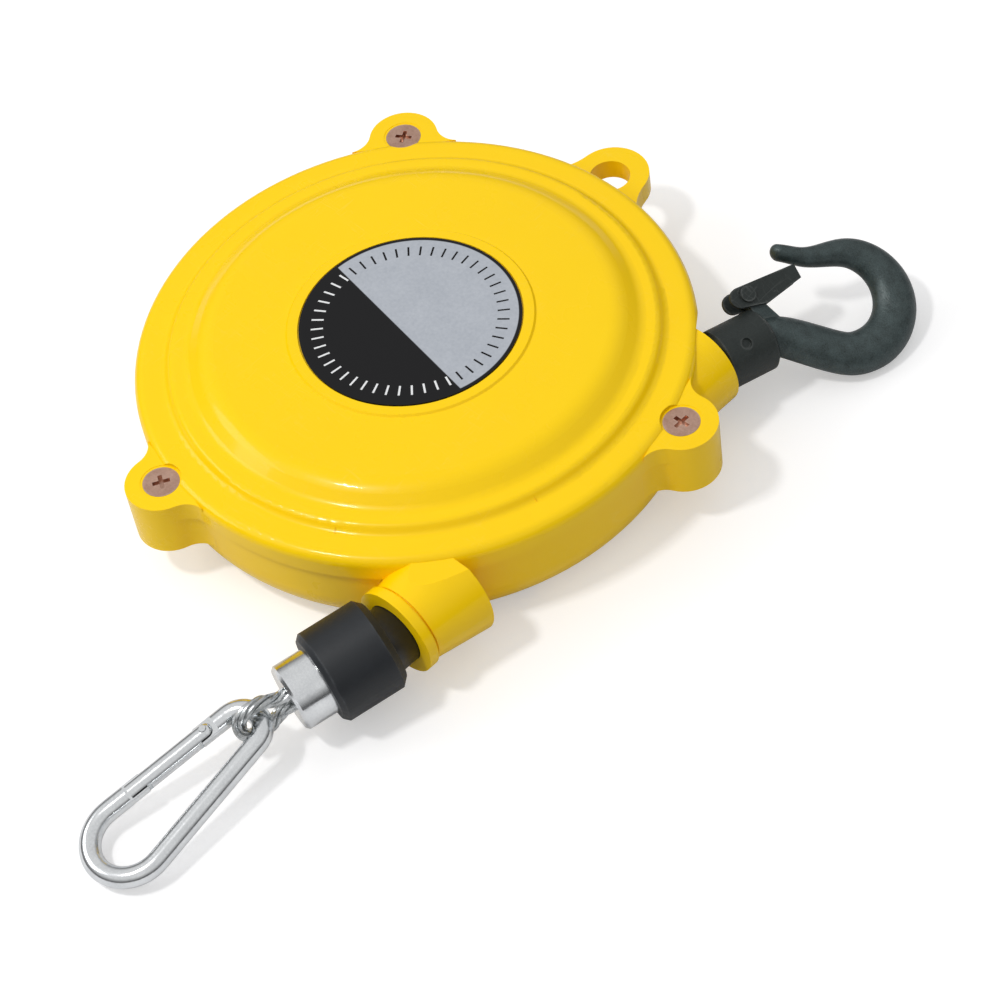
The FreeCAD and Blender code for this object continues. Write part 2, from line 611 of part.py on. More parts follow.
def make_back_case():
    body = new_body("back_case")
    radius = dim("case_radius")
    round_ = dim("back_round")
    split = dim("split_height")
    revolve(body, "CaseBlank", [
        (0, 0),
        (radius - round_, 0, round_),
        (radius, round_),
        (radius, split),
        (0, split),
    ])
    corner = dim("cavity_round")
    above = PLATEAU_TOP
    revolve(body, "Cavity", [
        (dim("case_hub_radius"), dim("floor_thickness")),
        (CAVITY_RADIUS - corner, dim("floor_thickness"), corner),
        (CAVITY_RADIUS, dim("floor_thickness") + corner),
        (CAVITY_RADIUS, above),
        (0, above),
        (0, dim("case_hub_top")),
        (dim("case_hub_radius"), dim("case_hub_top")),
    ], cut=True)
    ear = extrude(body, "CaseEar",
                  ear_outline(radius, EAR_CIRCLE, dim("ear_radius"), dim("ear_blend")),
                  split - dim("ear_depth"), split, angle=dim("ear_angle"))
    polar_pattern(body, "CaseEars", [ear], dim("ear_count"))
    extrude(body, "Lug",
            ear_outline(radius, LUG_REACH, dim("lug_radius"), dim("lug_blend")),
            dim("lug_bottom"), dim("lug_top"), angle=dim("lug_angle"))
    line_x, line_z = LINE
    rod(body, "BossBarrel", dim("boss_radius"), dim("boss_end") - dim("boss_start"),
        (line_x, dim("boss_start"), line_z), (0, 1, 0))
    lip_start = dim("snout_end") - dim("lip_length")
    cone(body, "SnoutBarrel", dim("snout_root_radius"), dim("snout_radius"),
         lip_start - dim("snout_start"), (line_x, -dim("snout_start"), line_z), (0, -1, 0))
    rod(body, "LipNeck", dim("snout_radius") - dim("lip_groove_depth"), dim("lip_length"),
        (line_x, -lip_start, line_z), (0, -1, 0))
    rod(body, "SnoutLip", dim("lip_radius"), dim("lip_length") - dim("lip_groove"),
        (line_x, -lip_start - dim("lip_groove"), line_z), (0, -1, 0))
    # The barrels keep clear of the cover's rim, of both drum flanges and of the wire's turns.
    far = dim("snout_end")
    primitive(body, "Box", "BarrelCap", (0, -far, BARREL_TOP), (0, 0, 1),
              {"Length": 2 * far, "Width": 2 * far, "Height": far}, cut=True)
    flange_room = FLANGE_RADIUS + dim("wall_room")
    wire_room = PITCH_RADIUS + dim("wire_radius") + dim("wall_room")
    lower_gap = dim("drum_bottom") + dim("drum_flange") + CLEARANCE
    upper_gap = UPPER_FLANGE - CLEARANCE
    revolve(body, "DrumRoom", [
        (CUP_RADIUS / 2, dim("floor_thickness")),
        (flange_room, dim("floor_thickness")),
        (flange_room, lower_gap),
        (wire_room, lower_gap),
        (wire_room, upper_gap),
        (flange_room, upper_gap),
        (flange_room, above),
        (CUP_RADIUS / 2, above),
    ], cut=True)
    rod(body, "ArborBore", dim("arbor_radius") + dim("arbor_play"), above, (0, 0, -1), cut=True)
    rod(body, "RatchetRecess", dim("ratchet_radius") + dim("ratchet_room"),
        dim("recess_depth") + 1, (0, 0, -1), cut=True)
    for name, direction, reach, offset in (
            ("NoseRoom", NOSE_DIRECTION, NOSE_REACH + dim("pawl_room"), dim("nose_room")),
            ("LeverRoom", dim("pawl_pivot_angle"), dim("pawl_lever") + 10, 0)):
        extrude(body, name, pawl_room_outline(direction, reach, dim("pawl_lift"), offset),
                -1, dim("recess_depth"), cut=True)
    rod(body, "PawlEyeRoom", dim("pawl_eye") + dim("pawl_room"), dim("recess_depth") + 1,
        (PAWL_X, PAWL_Y, -1), cut=True)
    rod(body, "PawlPinHole", dim("pawl_pin_radius") + STEEL_FIT,
        dim("floor_thickness") - CLEARANCE, (PAWL_X, PAWL_Y, 0), cut=True)
    rod(body, "BallPocket", dim("ball_radius") + dim("ball_clearance"),
        BALL_PLACE - dim("boss_start"), (line_x, dim("boss_start"), line_z), (0, 1, 0), cut=True)
    ball(body, "BallSeat", dim("ball_radius") + dim("ball_clearance"),
         (line_x, BALL_PLACE, line_z), cut=True)
    rod(body, "Throat", dim("throat_radius"), dim("ball_inset") + 1,
        (line_x, BALL_PLACE, line_z), (0, 1, 0), cut=True)
    cone(body, "Flare", dim("flare_radius"), dim("throat_radius"), dim("flare_depth"),
         (line_x, dim("boss_end"), line_z), (0, -1, 0), cut=True)
    rod(body, "MouthRoom", dim("flare_radius"), dim("boss_radius"),
        (line_x, dim("boss_end"), line_z), (0, 1, 0), cut=True)
    rod(body, "GuideBore", dim("guide_radius") + dim("guide_clearance"),
        dim("guide_length") + dim("guide_inset"), (line_x, -dim("snout_end"), line_z), (0, 1, 0),
        cut=True)
    rod(body, "WirePassage", dim("wire_passage"), dim("snout_end") - dim("boss_start"),
        (line_x, -dim("snout_end"), line_z), (0, 1, 0), cut=True)
    lug_x, lug_y = polar(dim("case_radius") + dim("lug_hole_offset"), dim("lug_angle"))
    rod(body, "LugHole", dim("lug_hole"), dim("lug_top") - dim("lug_bottom") + 2,
        (lug_x, lug_y, dim("lug_bottom") - 1), cut=True)
    hole_x, hole_y = polar(EAR_CIRCLE, dim("ear_angle"))
    hole = rod(body, "ScrewHole", dim("screw_radius") + STEEL_FIT, split,
               (hole_x, hole_y, EAR_TOP - dim("screw_length") - 1), cut=True)
    polar_pattern(body, "ScrewHoles", [hole], dim("ear_count"))
    return body


def make_front_cover():
    body = new_body("front_cover")
    split = dim("split_height")
    wall = dim("cover_wall")
    edge = COVER_RADIUS - dim("rim_round")
    flat = edge - dim("rim_width")
    bead_outer = COVER_RADIUS - dim("bead_inset")
    bead_inner = bead_outer - dim("bead_width")
    plateau = COVER_RADIUS - dim("plateau_inset")
    land = dim("label_radius") + dim("label_ring_width")
    land_top = PLATEAU_TOP + dim("label_ring_height")
    seat = land_top - dim("label_seat_depth")
    slope = wall / 2
    journal_depth = ARBOR_TOP + dim("arbor_end_gap")
    journal = dim("journal_radius") + dim("arbor_play")
    revolve(body, "CoverShell", [
        (CAVITY_RADIUS, split),
        (COVER_RADIUS, split),
        (COVER_RADIUS, RIM_TOP - dim("rim_round"), dim("rim_round")),
        (edge, RIM_TOP),
        (flat, RIM_TOP),
        (bead_outer, BEAD_TOP),
        (bead_inner, BEAD_TOP),
        (plateau, PLATEAU_TOP),
        (land + dim("label_ring_height"), PLATEAU_TOP),
        (land, land_top),
        (dim("label_radius") + CLEARANCE, land_top),
        (dim("label_radius") + CLEARANCE, seat),
        (0, seat),
        (0, journal_depth),
        (journal, journal_depth),
        (journal, COVER_ROOF),
        (plateau - slope, COVER_ROOF),
        (bead_inner - slope, BEAD_TOP - wall),
        (bead_outer - slope, BEAD_TOP - wall),
        (flat - slope, RIM_TOP - wall),
        (CAVITY_RADIUS, RIM_TOP - wall),
    ])
    fillet_rings(body, "BeadRounds", dim("bead_round"), [(flat, RIM_TOP), (bead_outer, BEAD_TOP)])
    fillet_rings(body, "BeadFoot", dim("bead_foot_round"), [(bead_inner, BEAD_TOP)])
    fillet_rings(body, "PlateauRound", dim("plateau_round"), [(plateau, PLATEAU_TOP)])
    ear = extrude(body, "CoverEar",
                  ear_outline(COVER_RADIUS, EAR_CIRCLE, dim("ear_radius"), dim("ear_blend")),
                  split, EAR_TOP, angle=dim("ear_angle"))
    polar_pattern(body, "CoverEars", [ear], dim("ear_count"))
    inside = CAVITY_RADIUS - dim("rim_width")
    revolve(body, "EarTrim", [
        (inside, 0),
        (CAVITY_RADIUS, 0),
        (CAVITY_RADIUS, RIM_TOP - wall),
        (inside, RIM_TOP - wall),
    ], cut=True)
    # The barrels of hook and wire pass through the wall; the rim closes again over them.
    line_x, line_z = LINE
    rod(body, "BossNotch", dim("boss_radius") + CLEARANCE, dim("boss_end"),
        (line_x, dim("boss_start"), line_z), (0, 1, 0), cut=True)
    notch = dim("snout_root_radius") + CLEARANCE
    rod(body, "SnoutNotch", notch, dim("snout_end"),
        (line_x, notch - dim("snout_start"), line_z), (0, -1, 0), cut=True)
    plate = BARREL_TOP + dim("rim_plate")
    rise = plate - RIM_TOP + dim("rim_round")
    revolve(body, "RimPlate", [
        (flat - slope, plate),
        (edge + root(dim("rim_round") * dim("rim_round") - rise * rise), plate, dim("rim_round")),
        (edge, RIM_TOP),
        (flat - slope, RIM_TOP),
    ])
    hole_x, hole_y = polar(EAR_CIRCLE, dim("ear_angle"))
    shank_hole = rod(body, "ShankHole", dim("screw_radius") + CLEARANCE, dim("screw_length"),
                     (hole_x, hole_y, split - CLEARANCE), cut=True)
    head_top = EAR_TOP - dim("head_inset")
    sink = cone(body, "HeadSink", dim("screw_radius") + dim("head_gap"),
                dim("screw_head_radius") + dim("head_gap"), dim("screw_head_depth"),
                (hole_x, hole_y, head_top - dim("screw_head_depth")), cut=True)
    head_room = rod(body, "HeadRoom", dim("screw_head_radius") + dim("screw_room"),
                    dim("rim_rise"), (hole_x, hole_y, head_top), cut=True)
    polar_pattern(body, "ScrewSeats", [shank_hole, sink, head_room], dim("ear_count"))
    return body


def make_label():
    body = new_body("label_disc")
    seat = PLATEAU_TOP + dim("label_ring_height") - dim("label_seat_depth")
    rod(body, "LabelPlate", dim("label_radius"), dim("label_thickness"), (0, 0, seat))
    return body


def make_screws():
    """Countersunk screws with a driver cross, one in each ear."""
    body = new_body("case_screws", loose=True)
    top = EAR_TOP - dim("head_inset")
    x, y = polar(EAR_CIRCLE, dim("ear_angle"))
    depth = dim("screw_head_depth")
    shank = rod(body, "ScrewShank", dim("screw_radius"), dim("screw_length") - depth,
                (x, y, top - dim("screw_length")))
    head = cone(body, "ScrewHead", dim("screw_radius"), dim("screw_head_radius"), depth,
                (x, y, top - depth))
    features = [shank, head]
    for name, long_side, short_side in (("CrossOne", "cross_length", "cross_width"),
                                        ("CrossTwo", "cross_width", "cross_length")):
        features.append(primitive(
            body, "Box", name,
            (x - dim(long_side) / 2, y - dim(short_side) / 2, top - dim("cross_depth")),
            (0, 0, 1),
            {"Length": dim(long_side), "Width": dim(short_side), "Height": depth}, cut=True))
    polar_pattern(body, "Screws", features, dim("ear_count"))
    return body


# ---- Drum, wire and mainspring ----

def make_drum():
    body = new_body("drum")
    flange = FLANGE_RADIUS
    bottom = dim("drum_bottom")
    thickness = dim("drum_flange")
    web = dim("drum_web_height")
    cup_inside = CUP_RADIUS - dim("cup_wall")
    rim_inside = GROOVE_BOTTOM - dim("drum_rim_wall")
    revolve(body, "DrumBody", [
        (BUSH_RADIUS, web),
        (rim_inside, web),
        (rim_inside, bottom),
        (flange, bottom),
        (flange, bottom + thickness),
        (GROOVE_BOTTOM, bottom + thickness),
        (GROOVE_BOTTOM, UPPER_FLANGE),
        (flange, UPPER_FLANGE),
        (flange, UPPER_FLANGE + thickness),
        (CUP_RADIUS, UPPER_FLANGE + thickness),
        (CUP_RADIUS, CUP_TOP),
        (cup_inside, CUP_TOP),
        (cup_inside, web + dim("drum_web")),
        (dim("hub_radius"), web + dim("drum_web")),
        (dim("hub_radius"), HUB_TOP),
        (BUSH_RADIUS, HUB_TOP),
    ])
    return body


def make_bushes():
    """Two flanged bushes, one in each end of the drum's hub."""
    body = new_body("drum_bushes", loose=True)
    inside = dim("arbor_radius") + dim("arbor_play")
    outside = BUSH_RADIUS - STEEL_FIT
    lower = dim("drum_web_height")
    upper = HUB_TOP
    for name, seat, sense in (("LowerBush", lower, 1), ("UpperBush", upper, -1)):
        inner_end = seat + dim("bush_length") * sense
        outer_end = seat - dim("bush_flange") * sense
        revolve(body, name, [
            (inside, outer_end),
            (dim("bush_flange_radius"), outer_end),
            (dim("bush_flange_radius"), seat),
            (outside, seat),
            (outside, inner_end),
            (inside, inner_end),
        ])
    return body


def make_winding():
    """The wire's turns, side by side on the drum, as one ring with a bump for each turn."""
    body = new_body("wire_winding")
    pitch = dim("wire_pitch")
    low = dim("drum_bottom") + dim("drum_flange") + CLEARANCE
    inside = PITCH_RADIUS - dim("wire_radius")
    turns = int(float(dim("wire_turns")))
    bend = pitch * 0.51
    path = [(inside, low)]
    for turn in range(turns):
        path.append((PITCH_RADIUS, low + pitch * turn, bend))
    path.append((PITCH_RADIUS, low + pitch * turns))
    path.append((inside, low + pitch * turns))
    revolve(body, "Winding", path)
    return body


def make_spring_cover():
    body = new_body("spring_cover")
    top = CUP_TOP + dim("spring_cover_thickness")
    revolve(body, "Lid", [
        (dim("hub_radius") + CLEARANCE, CUP_TOP),
        (CUP_RADIUS, CUP_TOP),
        (CUP_RADIUS, top),
        (dim("hub_radius") + CLEARANCE, top),
    ])
    return body


def make_main_spring():
    """A flat coil of strip between arbor and drum, drawn as half turns of growing radius."""
    half_strip = float(dim("spring_strip")) / 2
    inner = float(dim("hub_radius")) + float(dim("spring_gap")) + half_strip
    outer = (float(CUP_RADIUS) - float(dim("cup_wall"))
             - float(dim("spring_gap")) - half_strip)
    half_turns = 2 * int(float(dim("spring_turns")))
    step = (outer - inner) / half_turns
    level = float(dim("drum_web_height") + dim("drum_web")) + CLEARANCE
    sides = {1: [], -1: []}
    for index in range(half_turns):
        centre = Vector(step if index % 2 else 0, 0, level)
        facing = -1 if index % 2 else 1
        for side in sides:
            reach = inner + index * step + side * half_strip
            start = centre + Vector(facing * reach, 0, 0)
            middle = centre + Vector(0, facing * reach, 0)
            end = centre - Vector(facing * reach, 0, 0)
            sides[side].append(Part.Arc(start, middle, end).toShape())
    outer_ends = [sides[side][-1].valueAt(sides[side][-1].LastParameter) for side in (1, -1)]
    inner_ends = [sides[side][0].valueAt(sides[side][0].FirstParameter) for side in (1, -1)]
    edges = (sides[1] + [Part.makeLine(*outer_ends)] + sides[-1][::-1]
             + [Part.makeLine(*inner_ends)])
    face = Part.Face(Part.Wire(Part.__sortEdges__(edges)))
    spring = doc.addObject("Part::Feature", "main_spring")
    spring.Label = "main_spring"
    spring.Shape = face.extrude(Vector(0, 0, float(dim("spring_width"))))
    sub_parts.append(spring)
    return spring


def make_arbor():
    body = new_body("arbor")
    radius = dim("arbor_radius")
    journal_start = HUB_TOP + dim("bush_flange") + 0.1
    collar = dim("case_hub_top") + dim("arbor_collar")
    revolve(body, "ArborShaft", [
        (0, dim("recess_depth")),
        (radius, dim("recess_depth")),
        (radius, dim("case_hub_top")),
        (dim("arbor_collar_radius"), dim("case_hub_top")),
        (dim("arbor_collar_radius"), collar),
        (radius, collar),
        (radius, journal_start),
        (dim("journal_radius"), journal_start),
        (dim("journal_radius"), ARBOR_TOP),
        (0, ARBOR_TOP),
    ])
    half = dim("square_side") / 2
    square = [(-half, -half), (half, -half), (half, half), (-half, half)]
    extrude(body, "Square", square, dim("plate_inset"), dim("recess_depth") + 0.5)
    corner = dim("key_hex") / root(as_size(3))
    hexagon = [polar(corner, 60.0 * index) for index in range(6)]
    extrude(body, "KeySocket", hexagon, 0, dim("plate_inset") + dim("key_depth"), cut=True)
    return body


# ---- Ratchet and pawl ----

def make_ratchet_wheel():
    """Saw teeth whose steep sides face the pull of the mainspring."""
    body = new_body("ratchet_wheel")
    teeth = int(float(dim("ratchet_teeth")))
    step = 360.0 / teeth
    phase = NOSE_ANGLE + float(dim("tooth_lead"))
    path = []
    for tooth in range(teeth):
        path.append(polar(dim("ratchet_root"), phase + tooth * step))
        path.append(polar(dim("ratchet_radius"), phase + tooth * step))
    extrude(body, "Teeth", path, dim("plate_inset"), PLATE_TOP)
    half = dim("square_side") / 2 + STEEL_FIT
    square = [(-half, -half), (half, -half), (half, half), (-half, half)]
    extrude(body, "SquareHole", square, 0, PLATE_TOP + 1, cut=True)
    return body


def arm_point(direction, along, across):
    """A point of the pawl, measured along and across one of its arms from the pin."""
    along_x, along_y = polar(along, direction)
    across_x, across_y = polar(across, direction + 90.0)
    return PAWL_X + along_x + across_x, PAWL_Y + along_y + across_y


def make_pawl():
    body = new_body("pawl")
    low = dim("plate_inset")
    half = dim("pawl_width") / 2
    rod(body, "PawlEye", dim("pawl_eye"), dim("plate_thickness"), (PAWL_X, PAWL_Y, low))
    nose = NOSE_REACH + CLEARANCE * 0.7
    outside = -dim("pawl_arm_offset")
    length = dim("nose_length")
    # The arm passes outside the teeth, and only its nose reaches in between two of them.
    extrude(body, "NoseArm", [
        arm_point(NOSE_DIRECTION, 0, -half),
        arm_point(NOSE_DIRECTION, nose - length, outside - half / 2),
        arm_point(NOSE_DIRECTION, nose, outside),
        arm_point(NOSE_DIRECTION, nose, -dim("nose_gap")),
        arm_point(NOSE_DIRECTION, nose - length, -dim("nose_gap") - dim("nose_height")),
        arm_point(NOSE_DIRECTION, 0, half),
    ], low, PLATE_TOP)
    lever = dim("pawl_lever")
    direction = dim("pawl_pivot_angle")
    extrude(body, "LeverArm", [
        arm_point(direction, 0, -half),
        arm_point(direction, lever - half, -half),
        arm_point(direction, lever, 0),
        arm_point(direction, lever - half, half),
        arm_point(direction, 0, half),
    ], low, PLATE_TOP)
    rod(body, "PawlPinBore", dim("pawl_pin_radius") + dim("arbor_play"), 10,
        (PAWL_X, PAWL_Y, -1), cut=True)
    return body


def make_pawl_pin():
    body = new_body("pawl_pin")
    head = dim("plate_inset") - 0.1
    rod(body, "PinShank", dim("pawl_pin_radius"), dim("floor_thickness") - CLEARANCE - head,
        (PAWL_X, PAWL_Y, head))
    rod(body, "PinHead", dim("pawl_pin_radius") + 1, head - 0.1, (PAWL_X, PAWL_Y, 0.1))
    return body


def make_pawl_spring():
    """A spring wire, held at the wall of the lever's recess, whose free end leans on the lever."""
    body = new_body("pawl_spring")
    wire = dim("spring_wire")
    half = dim("pawl_width") / 2
    lever = dim("pawl_pivot_angle")
    wall = lever - dim("pawl_lift")
    held_x, held_y = arm_point(wall, dim("spring_hold"), wire + STEEL_FIT - half - dim("pawl_room"))
    free_x, free_y = arm_point(lever, dim("spring_touch"), -half - wire - STEEL_FIT)
    run_x = free_x - held_x
    run_y = free_y - held_y
    rod(body, "SpringWire", wire, root(run_x * run_x + run_y * run_y),
        (held_x, held_y, dim("plate_inset") + dim("plate_thickness") / 2),
        (float(run_x), float(run_y), 0))
    return body


# ---- Hook ----

def make_stem():
    """Ball-ended stem with a groove for the collar's pin."""
    body = new_body("hook_stem")
    neck = dim("neck_radius")
    radius = dim("ball_radius")
    slot = dim("collar_pin_radius") + 0.15
    place = dim("collar_pin_place")
    revolve(body, "Stem", [
        (0, -radius, radius),
        (radius, 0, radius),
        (neck, root(radius * radius - neck * neck)),
        (neck, place - slot),
        (dim("groove_radius"), place - slot),
        (dim("groove_radius"), place + slot),
        (neck, place + slot),
        (neck, dim("stem_length")),
        (0, dim("stem_length")),
    ], plane="XY_Plane")
    body.Placement = hook_frame()
    return body


def make_collar():
    body = new_body("swivel_collar")
    outside = dim("collar_radius")
    chamfer = dim("collar_chamfer")
    bore = dim("neck_radius") + dim("neck_play")
    revolve(body, "Collar", [
        (bore, dim("collar_start")),
        (outside - chamfer, dim("collar_start")),
        (outside, dim("collar_start") + chamfer),
        (outside, dim("collar_end") - 0.6),
        (outside - 0.6, dim("collar_end")),
        (bore, dim("collar_end")),
    ], plane="XY_Plane")
    rod(body, "PinHole", dim("collar_pin_radius") + STEEL_FIT, outside + 1,
        (0, dim("collar_pin_place"), 0), cut=True)
    body.Placement = hook_frame()
    return body


def make_collar_pin():
    body = new_body("collar_pin")
    inner = dim("groove_radius") + 0.1
    rod(body, "Pin", dim("collar_pin_radius"), dim("collar_radius") - 0.6 - inner,
        (0, dim("collar_pin_place"), inner))
    body.Placement = hook_frame()
    return body


def hook_sections():
    """Ellipses along the hook: inner point, outer point and width across, from shank to tip."""
    centre = float(dim("bowl_centre"))
    bowl = float(dim("bowl_radius"))
    back = float(dim("hook_back"))
    tip = float(dim("hook_tip"))
    depth = float(dim("hook_depth"))
    shank = float(dim("shank_radius"))
    tip_reach = float(dim("hook_tip_reach"))
    start = float(dim("collar_end"))
    sections = [
        (Vector(-shank, start), Vector(shank, start), 2 * shank),
        (Vector(-0.64 * shank, start + 6.2), Vector(1.2 * shank, start + 1.4), 1.95 * shank),
    ]
    for angle in range(234, 450, 24):
        # Angles run from +Y towards -X, so 270 degrees is the back of the hook.
        easing = max(0.0, (angle - 340.0) / 100.0)
        thickness = back + 0.8 * sin(radians(angle - 210.0)) - (back - 1.7 * tip) * easing
        way = Vector(-sin(radians(angle)), cos(radians(angle)))
        middle = Vector(0, centre)
        sections.append((middle + way * bowl, middle + way * (bowl + thickness),
                         depth - 1.4 * easing))
    for along, rise in ((3.2, 1.6), (6.8, 4.4), (tip_reach, 6.4)):
        inner = Vector(-bowl - rise - 0.2, centre - along)
        lean = Vector(-0.93, 0.36)
        thickness = tip + 0.12 * (tip_reach - along)
        sections.append((inner, inner + lean * thickness, depth - 1.6 - along * 0.12))
    return sections


def make_hook():
    """Forged hook: a loft through ellipses that follow shank, bowl and tip."""
    wires = []
    for inner, outer, across in hook_sections():
        half = (outer - inner).Length / 2
        major, minor = max(half, across / 2), min(half, across / 2)
        radial = (outer - inner).normalize()
        upward = Vector(0, 0, 1)
        x_axis = radial if half >= across / 2 else upward
        y_axis = upward if half >= across / 2 else radial
        ellipse = Part.Ellipse(Vector(0, 0, 0), major, minor)
        edge = ellipse.toShape()
        edge.Placement = Placement((inner + outer) * 0.5,
                                   Rotation(x_axis, y_axis, x_axis.cross(y_axis), "XYZ"))
        wires.append(Part.Wire([edge]))
    bar = Part.makeLoft(wires, True, False)
    tenon = Part.makeCylinder(float(dim("neck_radius")),
                              float(dim("collar_end") - dim("stem_length")) - CLEARANCE,
                              Vector(0, float(dim("stem_length")) + CLEARANCE, 0), Vector(0, 1, 0))
    pivot = Vector(float(dim("latch_pivot_x")), float(dim("latch_pivot_y")), 0)
    half_lug = float(dim("latch_lug")) / 2
    low = Vector(0, 0, -half_lug)
    eye_radius = float(dim("latch_eye")) - 0.3
    eye = Part.makeCylinder(eye_radius, 2 * half_lug, pivot + low)
    start = float(dim("collar_end")) + CLEARANCE
    web = Part.makePolygon([
        Vector(pivot.x - eye_radius, pivot.y, 0),
        Vector(pivot.x + eye_radius, start, 0),
        Vector(-1, start, 0),
        Vector(-1, start + float(dim("latch_lug_length")), 0),
        Vector(pivot.x - eye_radius * 0.3, pivot.y + eye_radius * 0.95, 0),
        Vector(pivot.x - eye_radius, pivot.y, 0),
    ])
    lug = eye.fuse(Part.Face(web).extrude(Vector(0, 0, 2 * half_lug)).translated(low))
    rivet_hole = Part.makeCylinder(float(dim("latch_rivet_radius")) + STEEL_FIT, 4 * half_lug,
                                   pivot + low * 2)
    hook = doc.addObject("Part::Feature", "hook")
    hook.Label = "hook"
    hook.Shape = bar.fuse([tenon, lug]).cut(rivet_hole).removeSplitter()
    hook.Placement = hook_frame()
    sub_parts.append(hook)
    return hook


def make_latch():
    """Folded sheet that closes the hook's mouth: two cheeks and the web between them."""
    body = new_body("hook_latch")
    pivot_x = dim("latch_pivot_x")
    pivot_y = dim("latch_pivot_y")
    eye = dim("latch_eye")
    sheet_thickness = dim("latch_sheet")
    inner = dim("latch_lug") / 2 + dim("latch_play")
    outer = inner + sheet_thickness
    heel = pivot_y - dim("latch_heel")
    end = pivot_y + dim("latch_length")
    cheek = [
        (pivot_x - eye, heel, eye),
        (pivot_x, heel - eye, eye),
        (pivot_x + eye, heel),
        (pivot_x + eye + 1.2, pivot_y + 3.2),
        (pivot_x + 1.8, end),
        (pivot_x - dim("latch_tip"), end),
    ]
    extrude(body, "Cheeks", cheek, -outer, outer)
    # The web between the cheeks starts beyond the hook's lug, which turns between them.
    web_start = pivot_y + eye + CLEARANCE
    web_side = pivot_x - eye + sheet_thickness
    between = [
        (pivot_x - 2 * eye, heel - 2 * eye),
        (pivot_x + 3 * eye, heel - 2 * eye),
        (pivot_x + 3 * eye, end + eye),
        (pivot_x - dim("latch_tip") + sheet_thickness, end + eye),
        (web_side, web_start),
        (pivot_x - 2 * eye, web_start),
    ]
    extrude(body, "Fold", between, -inner, inner, cut=True)
    rod(body, "LatchBore", dim("latch_rivet_radius") + dim("arbor_play"), 4 * outer,
        (pivot_x, pivot_y, -2 * outer), cut=True)
    body.Placement = hook_frame()
    return body


def make_latch_rivet():
    body = new_body("latch_rivet")
    half = dim("latch_lug") / 2 + dim("latch_play") + dim("latch_sheet") + 0.1
    x = dim("latch_pivot_x")
    y = dim("latch_pivot_y")
    rod(body, "RivetShank", dim("latch_rivet_radius"), 2 * half, (x, y, -half))
    for name, base in (("RivetHead", half), ("RivetTail", -half - 0.5)):
        rod(body, name, dim("latch_rivet_radius") + 0.7, 0.5, (x, y, base))
    body.Placement = hook_frame()
    return body


# ---- Wire end ----

def make_wire_guide():
    """Plastic bush with a bell mouth, so that the wire can lean."""
    body = new_body("wire_guide")
    outside = dim("guide_radius")
    bore = dim("guide_bore")
    revolve(body, "Guide", [
        (bore, dim("guide_flare_depth")),
        (dim("guide_flare"), 0),
        (outside, 0),
        (outside, dim("guide_length")),
        (bore + 1, dim("guide_length")),
        (bore, dim("guide_length") - 1),
    ], plane="XY_Plane")
    body.Placement = Placement(
        Vector(float(LINE[0]), -float(dim("snout_end") - dim("guide_inset")), float(LINE[1])),
        Rotation())
    return body


def make_wire_lead():
    """Wire between the drum and the outlet."""
    body = new_body("wire_lead")
    clear = PITCH_RADIUS + dim("wire_pitch") / 2 + CLEARANCE
    inner = PITCH_RADIUS - dim("wire_radius")
    start = root(clear * clear - inner * inner)
    rod(body, "Lead", dim("wire_radius"), dim("snout_end") - start,
        (LINE[0], -dim("snout_end"), LINE[1]), (0, 1, 0))
    return body


def make_wire_tail():
    """Wire from the outlet into the pressed sleeve."""
    body = new_body("wire_tail")
    start = 0.6
    rod(body, "Tail", dim("wire_radius"),
        dim("bumper_end") + dim("ferrule_grip") - start, (0, -start, 0), (0, -1, 0))
    body.Placement = wire_frame()
    return body


def make_bumper():
    body = new_body("rubber_bumper")
    bore = dim("wire_radius") + 0.1
    outside = dim("bumper_radius")
    near = -dim("bumper_start")
    far = -dim("bumper_end")
    revolve(body, "Bumper", [
        (bore, near),
        (bore, far),
        (outside - dim("bumper_round"), far),
        (outside, far + dim("bumper_round")),
        (outside, near - dim("bumper_chamfer")),
        (outside - dim("bumper_chamfer"), near),
    ], plane="XY_Plane")
    body.Placement = wire_frame()
    return body


def make_ferrule():
    """Pressed sleeve that grips the wire on one side and the rope eye on the other."""
    body = new_body("ferrule")
    near = -dim("bumper_end")
    far = -dim("ferrule_end")
    outside = dim("ferrule_radius")
    revolve(body, "Sleeve", [
        (0, near),
        (0, far),
        (outside - 0.6, far),
        (outside, far + 0.6),
        (outside, near),
    ], plane="XY_Plane")
    hole = dim("wire_radius") + STEEL_FIT
    rod(body, "WireHole", hole, dim("ferrule_grip"), (0, near, 0), (0, -1, 0), cut=True)
    for name, side in (("StrandHoleOne", 1), ("StrandHoleTwo", -1)):
        rod(body, name, hole, dim("ferrule_grip") - 0.4, (dim("strand_offset") * side, far, 0),
            (0, 1, 0), cut=True)
    body.Placement = eye_frame()
    return body


def make_rope_eye():
    """Loop of rope: two strands out of the sleeve and an arc round the carabiner's wire."""
    offset = dim("strand_offset")
    radius = dim("eye_radius")
    knee = -dim("ferrule_end") - dim("strand_straight")
    reach = dim("eye_reach") - dim("strand_straight")
    centre = knee - reach
    # Each strand bends outwards on an arc that meets the eye's own circle smoothly.
    flare = (reach * reach + offset * offset - radius * radius) / (2 * (radius - offset))
    tangent_x = radius * (offset + flare) / (flare + radius)
    tangent_y = radius * reach / (flare + radius)
    start = dim("ferrule_grip") - dim("ferrule_end") - CLEARANCE * 2
    path = [
        (offset, start),
        (offset, knee, flare),
        (tangent_x, centre + tangent_y, -radius),
        (0, centre - radius, -radius),
        (-tangent_x, centre + tangent_y, flare),
        (-offset, knee),
        (-offset, start),
    ]
    return swept_tube("rope_eye", path, dim("wire_radius"), eye_frame())


# ---- Carabiner ----

